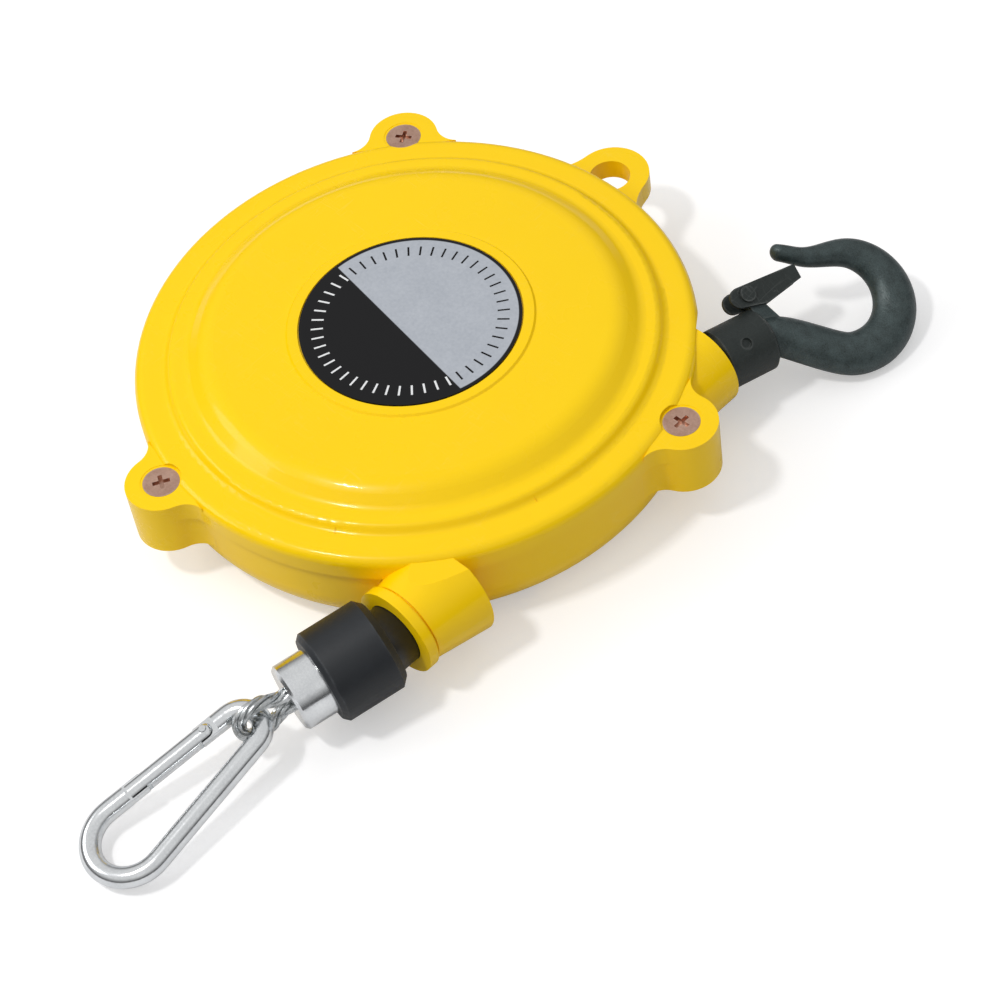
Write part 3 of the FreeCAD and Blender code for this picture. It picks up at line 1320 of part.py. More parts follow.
def side_point(along, across=0.0):
    """A point of the carabiner's gate side: along it from the narrow end, across to the outside."""
    slope = arc_sine((dim("clip_wide") - dim("clip_narrow")) / dim("clip_length"))
    out = dim("clip_narrow") + as_size(across)
    along = as_size(along)
    return (-(out * cosine(slope)) - along * sine(slope),
            out * sine(slope) - along * cosine(slope))


def side_turn():
    """Turn of the gate's side against the carabiner's axis."""
    ratio = float((dim("clip_wide") - dim("clip_narrow")) / dim("clip_length"))
    return Rotation(Vector(0, 0, 1), -degrees(asin(ratio)))


def make_carabiner():
    """Pear-shaped wire with flattened ends for the gate."""
    slope = arc_sine((dim("clip_wide") - dim("clip_narrow")) / dim("clip_length"))
    side = dim("clip_length") * cosine(slope)
    tongue = dim("gate_radius") - 0.3
    near_x, near_y = side_point(0)
    far_x, far_y = side_point(side)
    path = [
        side_point(dim("gate_start") + tongue),
        (near_x, near_y, -dim("clip_narrow")),
        (0, dim("clip_narrow"), -dim("clip_narrow")),
        (-near_x, near_y),
        (-far_x, far_y, -dim("clip_wide")),
        (0, -dim("clip_length") - dim("clip_wide"), -dim("clip_wide")),
        (far_x, far_y),
        side_point(dim("gate_end") - tongue),
    ]
    body = swept_tube("carabiner_body", path, dim("clip_wire"), clip_frame())
    doc.recompute()
    wide = dim("clip_wire") * 3
    shoulder = dim("gate_radius") + 0.5
    turn = side_turn()
    for name, low in (("NearTongue", dim("gate_start") - shoulder),
                      ("FarTongue", dim("gate_end") - dim("gate_radius"))):
        length = shoulder + dim("gate_radius")
        corner_x, corner_y = side_point(low + length, wide / 2)
        for face, base in (("Top", dim("gate_tongue") / 2), ("Bottom", -wide - dim("gate_tongue") / 2)):
            cut = primitive(body, "Box", name + face, (corner_x, corner_y, base), (0, 0, 1),
                            {"Length": wide, "Width": length, "Height": wide}, cut=True)
            cut.Placement = Placement(cut.Placement.Base, turn)
    pin_x, pin_y = side_point(dim("gate_start"))
    rod(body, "GatePinHole", dim("gate_pin_radius") + STEEL_FIT, 10, (pin_x, pin_y, -5), cut=True)
    return body


def make_gate():
    """Round gate, forked at both ends over the flattened ends of the wire."""
    body = new_body("carabiner_gate")
    turn = side_turn()
    pin_x, pin_y = side_point(dim("gate_start"))
    way = turn.multVec(Vector(0, -1, 0))
    length = dim("gate_end") + dim("gate_radius") - dim("gate_start")
    rod(body, "GateBar", dim("gate_radius"), length, (pin_x, pin_y, 0), tuple(way))
    ball(body, "GateEnd", dim("gate_radius"), (pin_x, pin_y, 0))
    reach = dim("gate_radius") + 0.5
    wide = dim("gate_radius") * 3
    for name, low in (("NearSlot", dim("gate_start") - reach),
                      ("FarSlot", dim("gate_end") - reach)):
        corner_x, corner_y = side_point(low + reach * 2, wide / 2)
        cut = primitive(body, "Box", name, (corner_x, corner_y, -dim("gate_slot") / 2), (0, 0, 1),
                        {"Length": wide, "Width": reach * 2, "Height": dim("gate_slot")}, cut=True)
        cut.Placement = Placement(cut.Placement.Base, turn)
    rod(body, "GateBore", dim("gate_pin_radius") + dim("arbor_play"), 10, (pin_x, pin_y, -5),
        cut=True)
    body.Placement = clip_frame()
    return body


def make_gate_pin():
    body = new_body("gate_pin")
    x, y = side_point(dim("gate_start"))
    half = dim("gate_radius") + 0.1
    rod(body, "GatePin", dim("gate_pin_radius"), 2 * half, (x, y, -half))
    body.Placement = clip_frame()
    return body


make_back_case()
make_front_cover()
make_label()
make_screws()
make_drum()
make_bushes()
make_winding()
make_spring_cover()
make_main_spring()
make_arbor()
make_ratchet_wheel()
make_pawl()
make_pawl_pin()
make_pawl_spring()
make_stem()
make_collar()
make_collar_pin()
make_hook()
make_latch()
make_latch_rivet()
make_wire_guide()
make_wire_lead()
make_wire_tail()
make_bumper()
make_ferrule()
make_rope_eye()
make_carabiner()
make_gate()
make_gate_pin()
doc.recompute()

for item in doc.Objects:
    if {"Invalid", "Error"} & set(item.State):
        raise RuntimeError(f"{item.Label} did not rebuild: {item.State}")
for item in sub_parts:
    if item.Shape.isNull() or not item.Shape.isValid():
        raise RuntimeError(f"{item.Label} has no valid shape")

os.makedirs("parts", exist_ok=True)
for item in sub_parts:
    item.Shape.exportStep(f"parts/{item.Label}.step")
    print(f"{item.Label}: {len(item.Shape.Solids)} solid(s), {item.Shape.Volume:.1f} mm3")
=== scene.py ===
from math import pi, radians

import bmesh
import bpy
import numpy as np
from mathutils import Matrix, Vector


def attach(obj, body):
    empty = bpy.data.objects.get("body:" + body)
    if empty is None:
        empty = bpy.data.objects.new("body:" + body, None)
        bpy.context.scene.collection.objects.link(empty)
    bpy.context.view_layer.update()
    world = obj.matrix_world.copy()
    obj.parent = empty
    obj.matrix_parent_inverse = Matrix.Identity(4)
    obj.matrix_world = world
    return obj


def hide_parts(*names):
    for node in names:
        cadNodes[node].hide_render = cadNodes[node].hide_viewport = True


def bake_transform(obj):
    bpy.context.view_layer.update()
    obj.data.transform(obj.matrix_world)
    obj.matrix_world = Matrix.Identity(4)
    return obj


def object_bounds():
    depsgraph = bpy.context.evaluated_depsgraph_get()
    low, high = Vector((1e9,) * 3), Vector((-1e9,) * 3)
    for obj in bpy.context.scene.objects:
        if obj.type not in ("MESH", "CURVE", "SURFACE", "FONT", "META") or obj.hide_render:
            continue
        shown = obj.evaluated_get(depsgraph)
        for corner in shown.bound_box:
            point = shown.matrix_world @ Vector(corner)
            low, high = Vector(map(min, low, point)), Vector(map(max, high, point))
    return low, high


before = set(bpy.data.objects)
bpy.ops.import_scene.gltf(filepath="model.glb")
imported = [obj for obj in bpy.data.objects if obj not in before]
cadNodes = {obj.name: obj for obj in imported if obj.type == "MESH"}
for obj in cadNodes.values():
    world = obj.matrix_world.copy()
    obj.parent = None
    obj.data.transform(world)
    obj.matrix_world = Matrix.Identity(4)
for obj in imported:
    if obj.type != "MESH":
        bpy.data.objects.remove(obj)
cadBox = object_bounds()
print("frame loaded:", len(cadNodes), "nodes")


class NodeMaker:
    # adds nodes to one tree; a tuple or number sets a socket, another socket is joined to it
    def __init__(self, tree):
        self.tree = tree

    def add(self, kind, inputs=None, **settings):
        node = self.tree.nodes.new("ShaderNode" + kind)
        for name, value in settings.items():
            setattr(node, name, value)
        for name, value in (inputs or {}).items():
            self.put(node.inputs[name], value)
        return node

    def put(self, socket, value):
        if isinstance(value, bpy.types.NodeSocket):
            self.tree.links.new(value, socket)
        else:
            socket.default_value = value

    def math(self, operation, first, second=0.0, clamp=False):
        return self.add("Math", {0: first, 1: second}, operation=operation, use_clamp=clamp).outputs[0]

    def mixColour(self, amount, first, second, blend="MIX"):
        node = self.add("Mix", data_type="RGBA", blend_type=blend)
        for index, value in ((0, amount), (6, first), (7, second)):
            self.put(node.inputs[index], value)
        return node.outputs[2]

    def remap(self, value, fromLow, fromHigh, toLow, toHigh):
        inputs = {0: value, 1: fromLow, 2: fromHigh, 3: toLow, 4: toHigh}
        return self.add("MapRange", inputs, clamp=True).outputs[0]

    def noise(self, place, scale, detail=3.0, roughness=0.5):
        inputs = {"Vector": place, "Scale": scale, "Detail": detail, "Roughness": roughness}
        return self.add("TexNoise", inputs).outputs[0]


def newGroup(name, inputs, outputs):
    group = bpy.data.node_groups.new(name, "ShaderNodeTree")
    for label, kind, value in inputs:
        socket = group.interface.new_socket(label, in_out="INPUT", socket_type="NodeSocket" + kind)
        if value is not None:
            socket.default_value = value
    for label, kind in outputs:
        group.interface.new_socket(label, in_out="OUTPUT", socket_type="NodeSocket" + kind)
    maker = NodeMaker(group)
    return group, maker, group.nodes.new("NodeGroupInput").outputs, group.nodes.new("NodeGroupOutput").inputs


def newMaterial(name):
    material = bpy.data.materials.new(name)
    material.use_nodes = True
    maker = NodeMaker(material.node_tree)
    shader = material.node_tree.nodes["Principled BSDF"]
    place = maker.add("TexCoord").outputs["Object"]
    return material, maker, shader, place


def useGroup(maker, group, inputs):
    node = maker.add("Group", node_tree=group)
    for name, value in inputs.items():
        maker.put(node.inputs[name], value)
    return node.outputs


def makeMottle():
    # broad cloudy variation with a finer grain laid over it, from 0 to 1
    group, maker, given, result = newGroup(
        "mottle",
        [("Place", "Vector", None), ("Scale", "Float", 100.0), ("Grain", "Float", 0.3)],
        [("Value", "Float")],
    )
    broad = maker.noise(given["Place"], given["Scale"], 3.0)
    fineScale = maker.math("MULTIPLY", given["Scale"], 9.0)
    fine = maker.noise(given["Place"], fineScale, 2.0)
    mixed = maker.add("Mix", {0: given["Grain"], 2: broad, 3: fine}).outputs[0]
    maker.put(result["Value"], maker.remap(mixed, 0.3, 0.7, 0.0, 1.0))
    return group


def makeScratch():
    # thin hair lines: noise stretched along two directions, kept only near its middle value
    group, maker, given, result = newGroup(
        "scratch",
        [("Place", "Vector", None), ("Scale", "Float", 100.0), ("Amount", "Float", 0.5)],
        [("Mask", "Float")],
    )
    masks = []
    for turn, squeeze in (((0.4, 0.2, 0.9), (1.0, 0.06, 0.3)), ((1.1, 0.7, 2.3), (0.07, 1.0, 0.4))):
        turned = maker.add("Mapping", {"Vector": given["Place"], "Rotation": turn, "Scale": squeeze})
        line = maker.noise(turned.outputs[0], given["Scale"], 1.0)
        distance = maker.math("ABSOLUTE", maker.math("SUBTRACT", line, 0.5))
        masks.append(maker.remap(distance, 0.0, 0.012, 1.0, 0.0))
    either = maker.math("MAXIMUM", masks[0], masks[1])
    patches = maker.remap(maker.noise(given["Place"], 60.0, 2.0), 0.45, 0.62, 0.0, 1.0)
    kept = maker.math("MULTIPLY", either, patches)
    maker.put(result["Mask"], maker.math("MULTIPLY", kept, given["Amount"]))
    return group


def makeEdgeWear():
    # bright on raised edges: the rounded normal leaves the true one where a corner is near
    group, maker, given, result = newGroup(
        "edgeWear",
        [("Place", "Vector", None), ("Radius", "Float", 0.0006)],
        [("Mask", "Float")],
    )
    rounded = maker.add("Bevel", {"Radius": given["Radius"]}, samples=4).outputs[0]
    straight = maker.add("NewGeometry").outputs["Normal"]
    alike = maker.add("VectorMath", {0: rounded, 1: straight}, operation="DOT_PRODUCT").outputs["Value"]
    edge = maker.remap(alike, 0.995, 0.9, 0.0, 1.0)
    patches = maker.remap(maker.noise(given["Place"], 240.0, 4.0), 0.4, 0.65, 0.0, 1.0)
    maker.put(result["Mask"], maker.math("MULTIPLY", edge, patches))
    return group


mottle = makeMottle()
scratch = makeScratch()
edgeWear = makeEdgeWear()
print("shared effects made")


bumpDepth = 0.0001  # metres that full white stands above black in every finish


def paintMaterial(name, look):
    # thick gloss enamel over a casting: slow colour drift, light scratch lines and orange-peel ripple
    material, maker, shader, place = newMaterial(name)
    drift = useGroup(maker, mottle, {"Place": place, "Scale": look["driftScale"], "Grain": 0.2})["Value"]
    colour = maker.mixColour(maker.math("MULTIPLY", drift, look["drift"]), look["colour"], look["shade"])
    lines = useGroup(maker, scratch, {"Place": place, "Scale": look["lineScale"],
                                      "Amount": look["scratches"]})["Mask"]
    colour = maker.mixColour(maker.math("MULTIPLY", lines, 0.3), colour, look["scratchColour"])
    maker.put(shader.inputs["Base Color"], colour)
    roughness = maker.remap(drift, 0.0, 1.0, look["roughness"], look["roughness"] + 0.08)
    maker.put(shader.inputs["Roughness"], maker.math("ADD", roughness, maker.math("MULTIPLY", lines, 0.2)))
    peel = maker.noise(place, look["peelScale"], 2.0)
    casting = maker.noise(place, look["castScale"], 4.0)
    height = maker.math("ADD", peel, maker.math("MULTIPLY", casting, look["castShare"]))
    bump = maker.add("Bump", {"Strength": look["bump"], "Distance": bumpDepth, "Height": height})
    maker.put(shader.inputs["Normal"], bump.outputs[0])
    shader.inputs["Coat Weight"].default_value = look["coat"]
    shader.inputs["Coat Roughness"].default_value = look["coatRoughness"]
    shader.inputs["Specular IOR Level"].default_value = look["specular"]
    return material


def metalMaterial(name, look):
    # bare or plated metal: mottled brightness, fine scratches, brighter rubbed edges
    material, maker, shader, place = newMaterial(name)
    cloud = useGroup(maker, mottle, {"Place": place, "Scale": look["cloudScale"], "Grain": look["grain"]})["Value"]
    lines = useGroup(maker, scratch, {"Place": place, "Scale": look["lineScale"],
                                      "Amount": look["scratches"]})["Mask"]
    worn = useGroup(maker, edgeWear, {"Place": place, "Radius": look["edgeRadius"]})["Mask"]
    colour = maker.mixColour(cloud, look["colour"], look["darker"])
    colour = maker.mixColour(maker.math("MULTIPLY", worn, look["edgeShare"]), colour, look["edge"])
    colour = maker.mixColour(maker.math("MULTIPLY", lines, 0.5), colour, look["edge"])
    maker.put(shader.inputs["Base Color"], colour)
    shader.inputs["Metallic"].default_value = look["metallic"]
    roughness = maker.remap(cloud, 0.0, 1.0, look["roughness"], look["roughness"] + look["roughSpread"])
    maker.put(shader.inputs["Roughness"], maker.math("ADD", roughness, maker.math("MULTIPLY", lines, 0.15)))
    height = maker.math("SUBTRACT", cloud, lines)
    bump = maker.add("Bump", {"Strength": look["bump"], "Distance": bumpDepth, "Height": height})
    maker.put(shader.inputs["Normal"], bump.outputs[0])
    return material


def rubberMaterial(name, look):
    # moulded rubber or plastic: soft sheen, fine grain, grey scuffs on the edges
    material, maker, shader, place = newMaterial(name)
    cloud = useGroup(maker, mottle, {"Place": place, "Scale": look["cloudScale"], "Grain": 0.5})["Value"]
    worn = useGroup(maker, edgeWear, {"Place": place, "Radius": look["edgeRadius"]})["Mask"]
    colour = maker.mixColour(maker.math("MULTIPLY", cloud, 0.5), look["colour"], look["dusty"])
    colour = maker.mixColour(maker.math("MULTIPLY", worn, look["scuff"]), colour, look["scuffColour"])
    maker.put(shader.inputs["Base Color"], colour)
    maker.put(shader.inputs["Roughness"], maker.remap(cloud, 0.0, 1.0, look["roughness"], look["roughness"] + 0.15))
    grain = maker.noise(place, look["grainScale"], 3.0)
    bump = maker.add("Bump", {"Strength": look["bump"], "Distance": bumpDepth, "Height": grain})
    maker.put(shader.inputs["Normal"], bump.outputs[0])
    return material


yellowLook = {
    "colour": (1.0, 0.66, 0.0, 1.0),
    "shade": (0.98, 0.61, 0.0, 1.0),
    "scratchColour": (1.0, 0.80, 0.25, 1.0),
    "drift": 0.45,
    "driftScale": 28.0,
    "roughness": 0.24,
    "lineScale": 900.0,
    "scratches": 0.25,
    "peelScale": 420.0,
    "castScale": 90.0,
    "castShare": 2.0,
    "bump": 0.10,
    "coat": 0.22,
    "coatRoughness": 0.05,
    "specular": 0.16,
}
zincLook = {
    "colour": (0.90, 0.92, 0.93, 1.0),
    "darker": (0.72, 0.74, 0.76, 1.0),
    "edge": (0.92, 0.93, 0.95, 1.0),
    "cloudScale": 260.0,
    "grain": 0.4,
    "lineScale": 700.0,
    "scratches": 0.25,
    "edgeRadius": 0.0004,
    "edgeShare": 0.5,
    "metallic": 1.0,
    "roughness": 0.11,
    "roughSpread": 0.12,
    "bump": 0.06,
}
blackSteelLook = {
    "colour": (0.017, 0.022, 0.021, 1.0),
    "darker": (0.030, 0.038, 0.036, 1.0),
    "edge": (0.16, 0.17, 0.165, 1.0),
    "cloudScale": 300.0,
    "grain": 0.55,
    "lineScale": 600.0,
    "scratches": 0.5,
    "edgeRadius": 0.0007,
    "edgeShare": 0.7,
    "metallic": 0.35,
    "roughness": 0.40,
    "roughSpread": 0.16,
    "bump": 0.5,
}
forgedLook = dict(
    blackSteelLook,
    colour=(0.024, 0.034, 0.034, 1.0),
    darker=(0.075, 0.105, 0.106, 1.0),
    scratches=0.25,
    cloudScale=420.0,
    roughness=0.27,
    bump=0.55,
)
ropeSteelLook = dict(zincLook, colour=(0.66, 0.68, 0.69, 1.0), darker=(0.40, 0.42, 0.42, 1.0), roughness=0.22)
copperLook = dict(
    zincLook,
    colour=(0.70, 0.46, 0.36, 1.0),
    darker=(0.46, 0.27, 0.20, 1.0),
    edge=(0.88, 0.68, 0.58, 1.0),
    roughness=0.28,
)
steelLook = dict(zincLook, colour=(0.46, 0.47, 0.49, 1.0), darker=(0.30, 0.31, 0.33, 1.0), roughness=0.30)
springLook = dict(steelLook, colour=(0.20, 0.22, 0.26, 1.0), darker=(0.10, 0.11, 0.14, 1.0))
drumLook = dict(steelLook, colour=(0.60, 0.61, 0.62, 1.0), roughness=0.42, grain=0.7)
bronzeLook = dict(steelLook, colour=(0.52, 0.33, 0.13, 1.0), darker=(0.34, 0.20, 0.07, 1.0))
brownLook = dict(steelLook, colour=(0.20, 0.09, 0.035, 1.0), darker=(0.10, 0.045, 0.02, 1.0), metallic=0.6)
rubberLook = {
    "colour": (0.005, 0.007, 0.010, 1.0),
    "dusty": (0.012, 0.016, 0.021, 1.0),
    "scuffColour": (0.10, 0.11, 0.12, 1.0),
    "scuff": 0.5,
    "edgeRadius": 0.0008,
    "cloudScale": 160.0,
    "roughness": 0.40,
    "grainScale": 1500.0,
    "bump": 0.18,
}
plasticLook = dict(rubberLook, colour=(0.008, 0.008, 0.009, 1.0), roughness=0.28, bump=0.10)

yellowPaint = paintMaterial("yellowPaint", yellowLook)
zincPlate = metalMaterial("zincPlate", zincLook)
blackSteel = metalMaterial("blackSteel", blackSteelLook)
copperPlate = metalMaterial("copperPlate", copperLook)
ropeSteel = metalMaterial("ropeSteel", ropeSteelLook)
forgedSteel = metalMaterial("forgedSteel", forgedLook)
plainSteel = metalMaterial("plainSteel", steelLook)
springSteel = metalMaterial("springSteel", springLook)
drumMetal = metalMaterial("drumMetal", drumLook)
bronze = metalMaterial("bronze", bronzeLook)
brownSteel = metalMaterial("brownSteel", brownLook)
blackRubber = rubberMaterial("blackRubber", rubberLook)
blackPlastic = rubberMaterial("blackPlastic", plasticLook)


def labelMaterial(name, look):
    # a dial face: silver sector above a straight chord, black below, a ring of graduations near the rim
    material, maker, shader, place = newMaterial(name)
    split = maker.add("SeparateXYZ", {0: place}).outputs
    flat = maker.add("CombineXYZ", {0: split[0], 1: split[1]}).outputs[0]
    reach = maker.add("VectorMath", {0: flat}, operation="LENGTH").outputs["Value"]
    turned = maker.add("VectorRotate", {"Vector": flat, "Angle": look["turn"]}, rotation_type="Z_AXIS").outputs[0]
    across = maker.add("SeparateXYZ", {0: turned}).outputs
    silver = maker.remap(across[1], look["chord"] - look["blur"], look["chord"] + look["blur"], 0.0, 1.0)
    inside = maker.remap(reach, look["rim"] - look["blur"], look["rim"] + look["blur"], 1.0, 0.0)
    silver = maker.math("MULTIPLY", silver, inside)
    turn = maker.math("ARCTAN2", across[1], across[0])
    step = maker.math("MULTIPLY", turn, look["ticks"] / (2 * pi))
    near = maker.math("ABSOLUTE", maker.math("SUBTRACT", maker.math("FRACT", step), 0.5))
    thin = maker.math("MULTIPLY", near, reach)
    tick = maker.math("LESS_THAN", thin, look["tickWidth"])
    band = maker.math("MULTIPLY", maker.math("GREATER_THAN", reach, look["tickStart"]),
                      maker.math("LESS_THAN", reach, look["tickEnd"]))
    tick = maker.math("MULTIPLY", tick, band)
    brushed = useGroup(maker, mottle, {"Place": place, "Scale": 180.0, "Grain": 0.6})["Value"]
    grey = maker.mixColour(brushed, look["silver"], look["silverShade"])
    colour = maker.mixColour(silver, look["black"], grey)
    marks = maker.mixColour(silver, look["mark"], look["black"])
    colour = maker.mixColour(tick, colour, marks)
    maker.put(shader.inputs["Base Color"], colour)
    maker.put(shader.inputs["Metallic"], maker.math("MULTIPLY", silver, look["metallic"]))
    shader.inputs["Roughness"].default_value = look["roughness"]
    shader.inputs["Specular IOR Level"].default_value = look["specular"]
    ripple = maker.noise(place, 300.0, 2.0)
    bump = maker.add("Bump", {"Strength": 0.05, "Distance": bumpDepth, "Height": ripple})
    maker.put(shader.inputs["Normal"], bump.outputs[0])
    return material


labelLook = {
    "turn": radians(9.83),
    "chord": -0.0030,
    "blur": 0.00008,
    "rim": 0.0221,
    "ticks": 48,
    "tickWidth": 0.0016,
    "tickStart": 0.0178,
    "tickEnd": 0.0203,
    "silver": (0.50, 0.53, 0.58, 1.0),
    "silverShade": (0.42, 0.45, 0.50, 1.0),
    "black": (0.007, 0.007, 0.008, 1.0),
    "mark": (0.78, 0.79, 0.80, 1.0),
    "metallic": 0.25,
    "specular": 0.2,
    "roughness": 0.30,
}
labelFace = labelMaterial("labelFace", labelLook)

finishes = {
    "back_case": yellowPaint,
    "front_cover": yellowPaint,
    "label_disc": labelFace,
    "case_screws": copperPlate,
    "drum": drumMetal,
    "drum_bushes": bronze,
    "wire_winding": plainSteel,
    "spring_cover": plainSteel,
    "main_spring": springSteel,
    "arbor": plainSteel,
    "ratchet_wheel": plainSteel,
    "pawl": brownSteel,
    "pawl_pin": plainSteel,
    "hook_stem": plainSteel,
    "swivel_collar": blackSteel,
    "collar_pin": blackSteel,
    "hook_latch": blackSteel,
    "latch_rivet": blackSteel,
    "rubber_bumper": blackRubber,
    "ferrule": zincPlate,
    "carabiner_body": zincPlate,
    "carabiner_gate": zincPlate,
    "gate_pin": zincPlate,
}
for name, material in finishes.items():
    cadNodes[name].data.materials.clear()
    cadNodes[name].data.materials.append(material)
print("materials set on", len(finishes), "nodes")


def finishPiece(name, points, faces, material, body, sharp):
    # one mesh with its faces turned outwards, smooth up to the sharp angle; a blended piece has no body
    mesh = bpy.data.meshes.new(name)
    mesh.from_pydata(points.tolist(), [], faces)
    work = bmesh.new()
    work.from_mesh(mesh)
    bmesh.ops.recalc_face_normals(work, faces=work.faces)
    work.to_mesh(mesh)
    work.free()
    mesh.shade_smooth()
    mesh.set_sharp_from_angle(angle=radians(sharp))
    mesh.materials.append(material)
    piece = bpy.data.objects.new(name, mesh)
    bpy.context.scene.collection.objects.link(piece)
    if body:
        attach(piece, body)
    return piece


def meshPiece(name, rings, material, body, sharp=40.0):
    # rings: loops of points, one array per tube; each tube's two ends close in a fan on their middle
    points, faces, count = [], [], 0
    for tube in rings:
        rows, around = tube.shape[:2]
        here = np.arange(around)
        there = (here + 1) % around
        first = count + np.arange(rows - 1)[:, None] * around
        quads = np.stack([first + here, first + there, first + around + there, first + around + here], -1)
        poles = count + rows * around
        far = poles - around
        points.append(np.vstack([tube.reshape(-1, 3), tube[[0, -1]].mean(1)]))
        faces += quads.reshape(-1, 4).tolist()
        faces += np.stack([np.full(around, poles), there + count, here + count], -1).tolist()
        faces += np.stack([np.full(around, poles + 1), here + far, there + far], -1).tolist()
        count += rows * around + 2
    return finishPiece(name, np.vstack(points), faces, material, body, sharp)


def roundedPath(corners, steps=8):
    # corners are (x, y, round); each round is an arc of that radius that touches both sides
    line = []
    for before, (x, y, bend), after in zip(corners[-1:] + corners[:-1], corners, corners[1:] + corners[:1]):
        corner = np.array([x, y])
        if not bend:
            line.append(corner[None])
            continue
        into = corner - before[:2]
        out = np.array(after[:2]) - corner
        into, out = into / np.linalg.norm(into), out / np.linalg.norm(out)
        turn = np.arctan2(into[0] * out[1] - into[1] * out[0], into @ out)
        start = corner - into * bend * np.tan(abs(turn) / 2)
        side = np.array([-into[1], into[0]]) * np.sign(turn)
        angle = np.linspace(0, abs(turn), steps)[:, None]
        line.append(start + bend * (np.sin(angle) * into + (1 - np.cos(angle)) * side))
    return np.vstack(line)


def turnedRings(loop, angles, toRow):
    # point j of the loop (radius, height), turned by each angle about the height's axis
    angles = np.asarray(angles)[:, None]
    flat = np.stack([loop[:, 0] * np.cos(angles), loop[:, 0] * np.sin(angles),
                     np.broadcast_to(loop[:, 1], (len(angles), len(loop)))], -1)
    return toRow(flat)


def framed(turn, base):
    # a map from a piece's own frame, in mm, to the row frame, in metres
    matrix = np.array(turn)
    return lambda points: (points @ matrix.T + base) * 0.001


linePlace = (44.0, 12.8)
mouth = np.array([linePlace[0], -50.3, linePlace[1]])
ballPlace = np.array([linePlace[0], 33.6, linePlace[1]])
wireTurn = Matrix.Rotation(radians(-14.7), 3, "Z") @ Matrix.Rotation(radians(5.6), 3, "X")
clipTurn = Matrix.Rotation(radians(-3.2), 3, "Z") @ Matrix.Rotation(radians(10.9), 3, "X")
hookTurn = (Matrix.Rotation(radians(-12.5), 3, "Z") @ Matrix.Rotation(radians(-5.0), 3, "X")
            @ Matrix.Rotation(radians(33.0), 3, "Y"))


def eyeTurn():
    # the eye stands square to the carabiner's wire, which it goes round
    along = wireTurn @ Vector((0, -1, 0))
    normal = clipTurn @ Vector((0, 0, 1))
    pull = (along - normal * along.dot(normal)).normalized()
    across = normal.cross(pull).normalized()
    return Matrix((across.cross(along), -along, across)).transposed()


rimLook = {
    # (radius, height, round) in mm, once round the section of the cover's rim
    "section": [(57.9, 18.02, 0), (57.9, 23.3, 2.2), (51.3, 23.3, 1.5), (50.0, 25.0, 1.5),
                (48.2, 25.0, 0), (48.2, 23.6, 0), (50.6, 21.4, 0), (55.4, 21.0, 0), (55.4, 18.02, 0)],
    "from": -62.0,
    "to": -17.0,
    "steps": 120,
    "proud": 0.02,
    "sunk": 0.15,
}


def rimRings(look):
    # the section stands proud of the cover by a hair in the middle and dips under its skin at both ends:
    # shift = proud - (proud + sunk) |2 t - 1|^16
    share = np.linspace(-1, 1, look["steps"])
    shift = look["proud"] - (look["proud"] + look["sunk"]) * np.abs(share) ** 16
    angles = np.radians(look["from"] + (look["to"] - look["from"]) * (share + 1) / 2)[:, None]
    loop = roundedPath(look["section"])
    radius = loop[:, 0] + shift[:, None]
    height = loop[:, 1] + shift[:, None]
    return 0.001 * np.stack([radius * np.cos(angles), radius * np.sin(angles), height], -1)


rimOverSnout = meshPiece("rimOverSnout", [rimRings(rimLook)], yellowPaint, "case")
print("rim over the snout made")


def routeLine(name, points, spacing):
    # the rope's middle line: read from a NURBS spline through its route, then spaced evenly
    curve = bpy.data.curves.new(name, "CURVE")
    curve.dimensions = "3D"
    spline = curve.splines.new("NURBS")
    spline.points.add(len(points) - 1)
    spline.points.foreach_set("co", [value for point in points for value in (*point, 0.0, 1.0)])
    spline.order_u = 3
    spline.use_endpoint_u = True
    spline.resolution_u = 24
    holder = bpy.data.objects.new(name, curve)
    mesh = bpy.data.meshes.new_from_object(holder)
    line = np.zeros(len(mesh.vertices) * 3)
    mesh.vertices.foreach_get("co", line)
    line = line.reshape(-1, 3)
    bpy.data.objects.remove(holder)
    bpy.data.meshes.remove(mesh)
    way = np.concatenate([[0], np.cumsum(np.linalg.norm(np.diff(line, axis=0), axis=1))])
    even = np.linspace(0, way[-1], int(way[-1] / spacing) + 2)
    return even, np.stack([np.interp(even, way, line[:, axis]) for axis in range(3)], -1)


def strandRings(way, line, look, toRow):
    # strand k: middle = line + h (cos f N + sin f B), f = 2 pi (way / lay + k / strands), N and B square
    # to the flat line; its skin is r (1 + d cos(6 a - 2 pi way / wireLay)) (cos a N + sin a B) round that
    ahead = np.gradient(line, axis=0)
    ahead /= np.linalg.norm(ahead, axis=1)[:, None]
    up = np.array([0.0, 0.0, 1.0])
    side = np.cross(ahead, up)[:, None]
    angle = np.linspace(0, 2 * pi, look["around"], endpoint=False)[None]
    grooves = np.cos(6 * angle - 2 * pi * way[:, None] / look["wireLay"])
    radius = look["strand"] * (1 + look["depth"] * grooves)
    skin = radius[..., None] * (np.cos(angle)[..., None] * side + np.sin(angle)[..., None] * up)
    rings = []
    for strand in range(look["strands"]):
        turn = (2 * pi * (way / look["lay"] + strand / look["strands"]))[:, None, None]
        middle = line[:, None] + look["helix"] * (np.cos(turn) * side + np.sin(turn) * up)
        rings.append(toRow(middle + skin))
    return rings


ropeLook = {"strands": 6, "strand": 0.47, "helix": 0.95, "lay": 17.0, "around": 24, "wireLay": 4.2,
            "depth": 0.07, "spacing": 0.3}
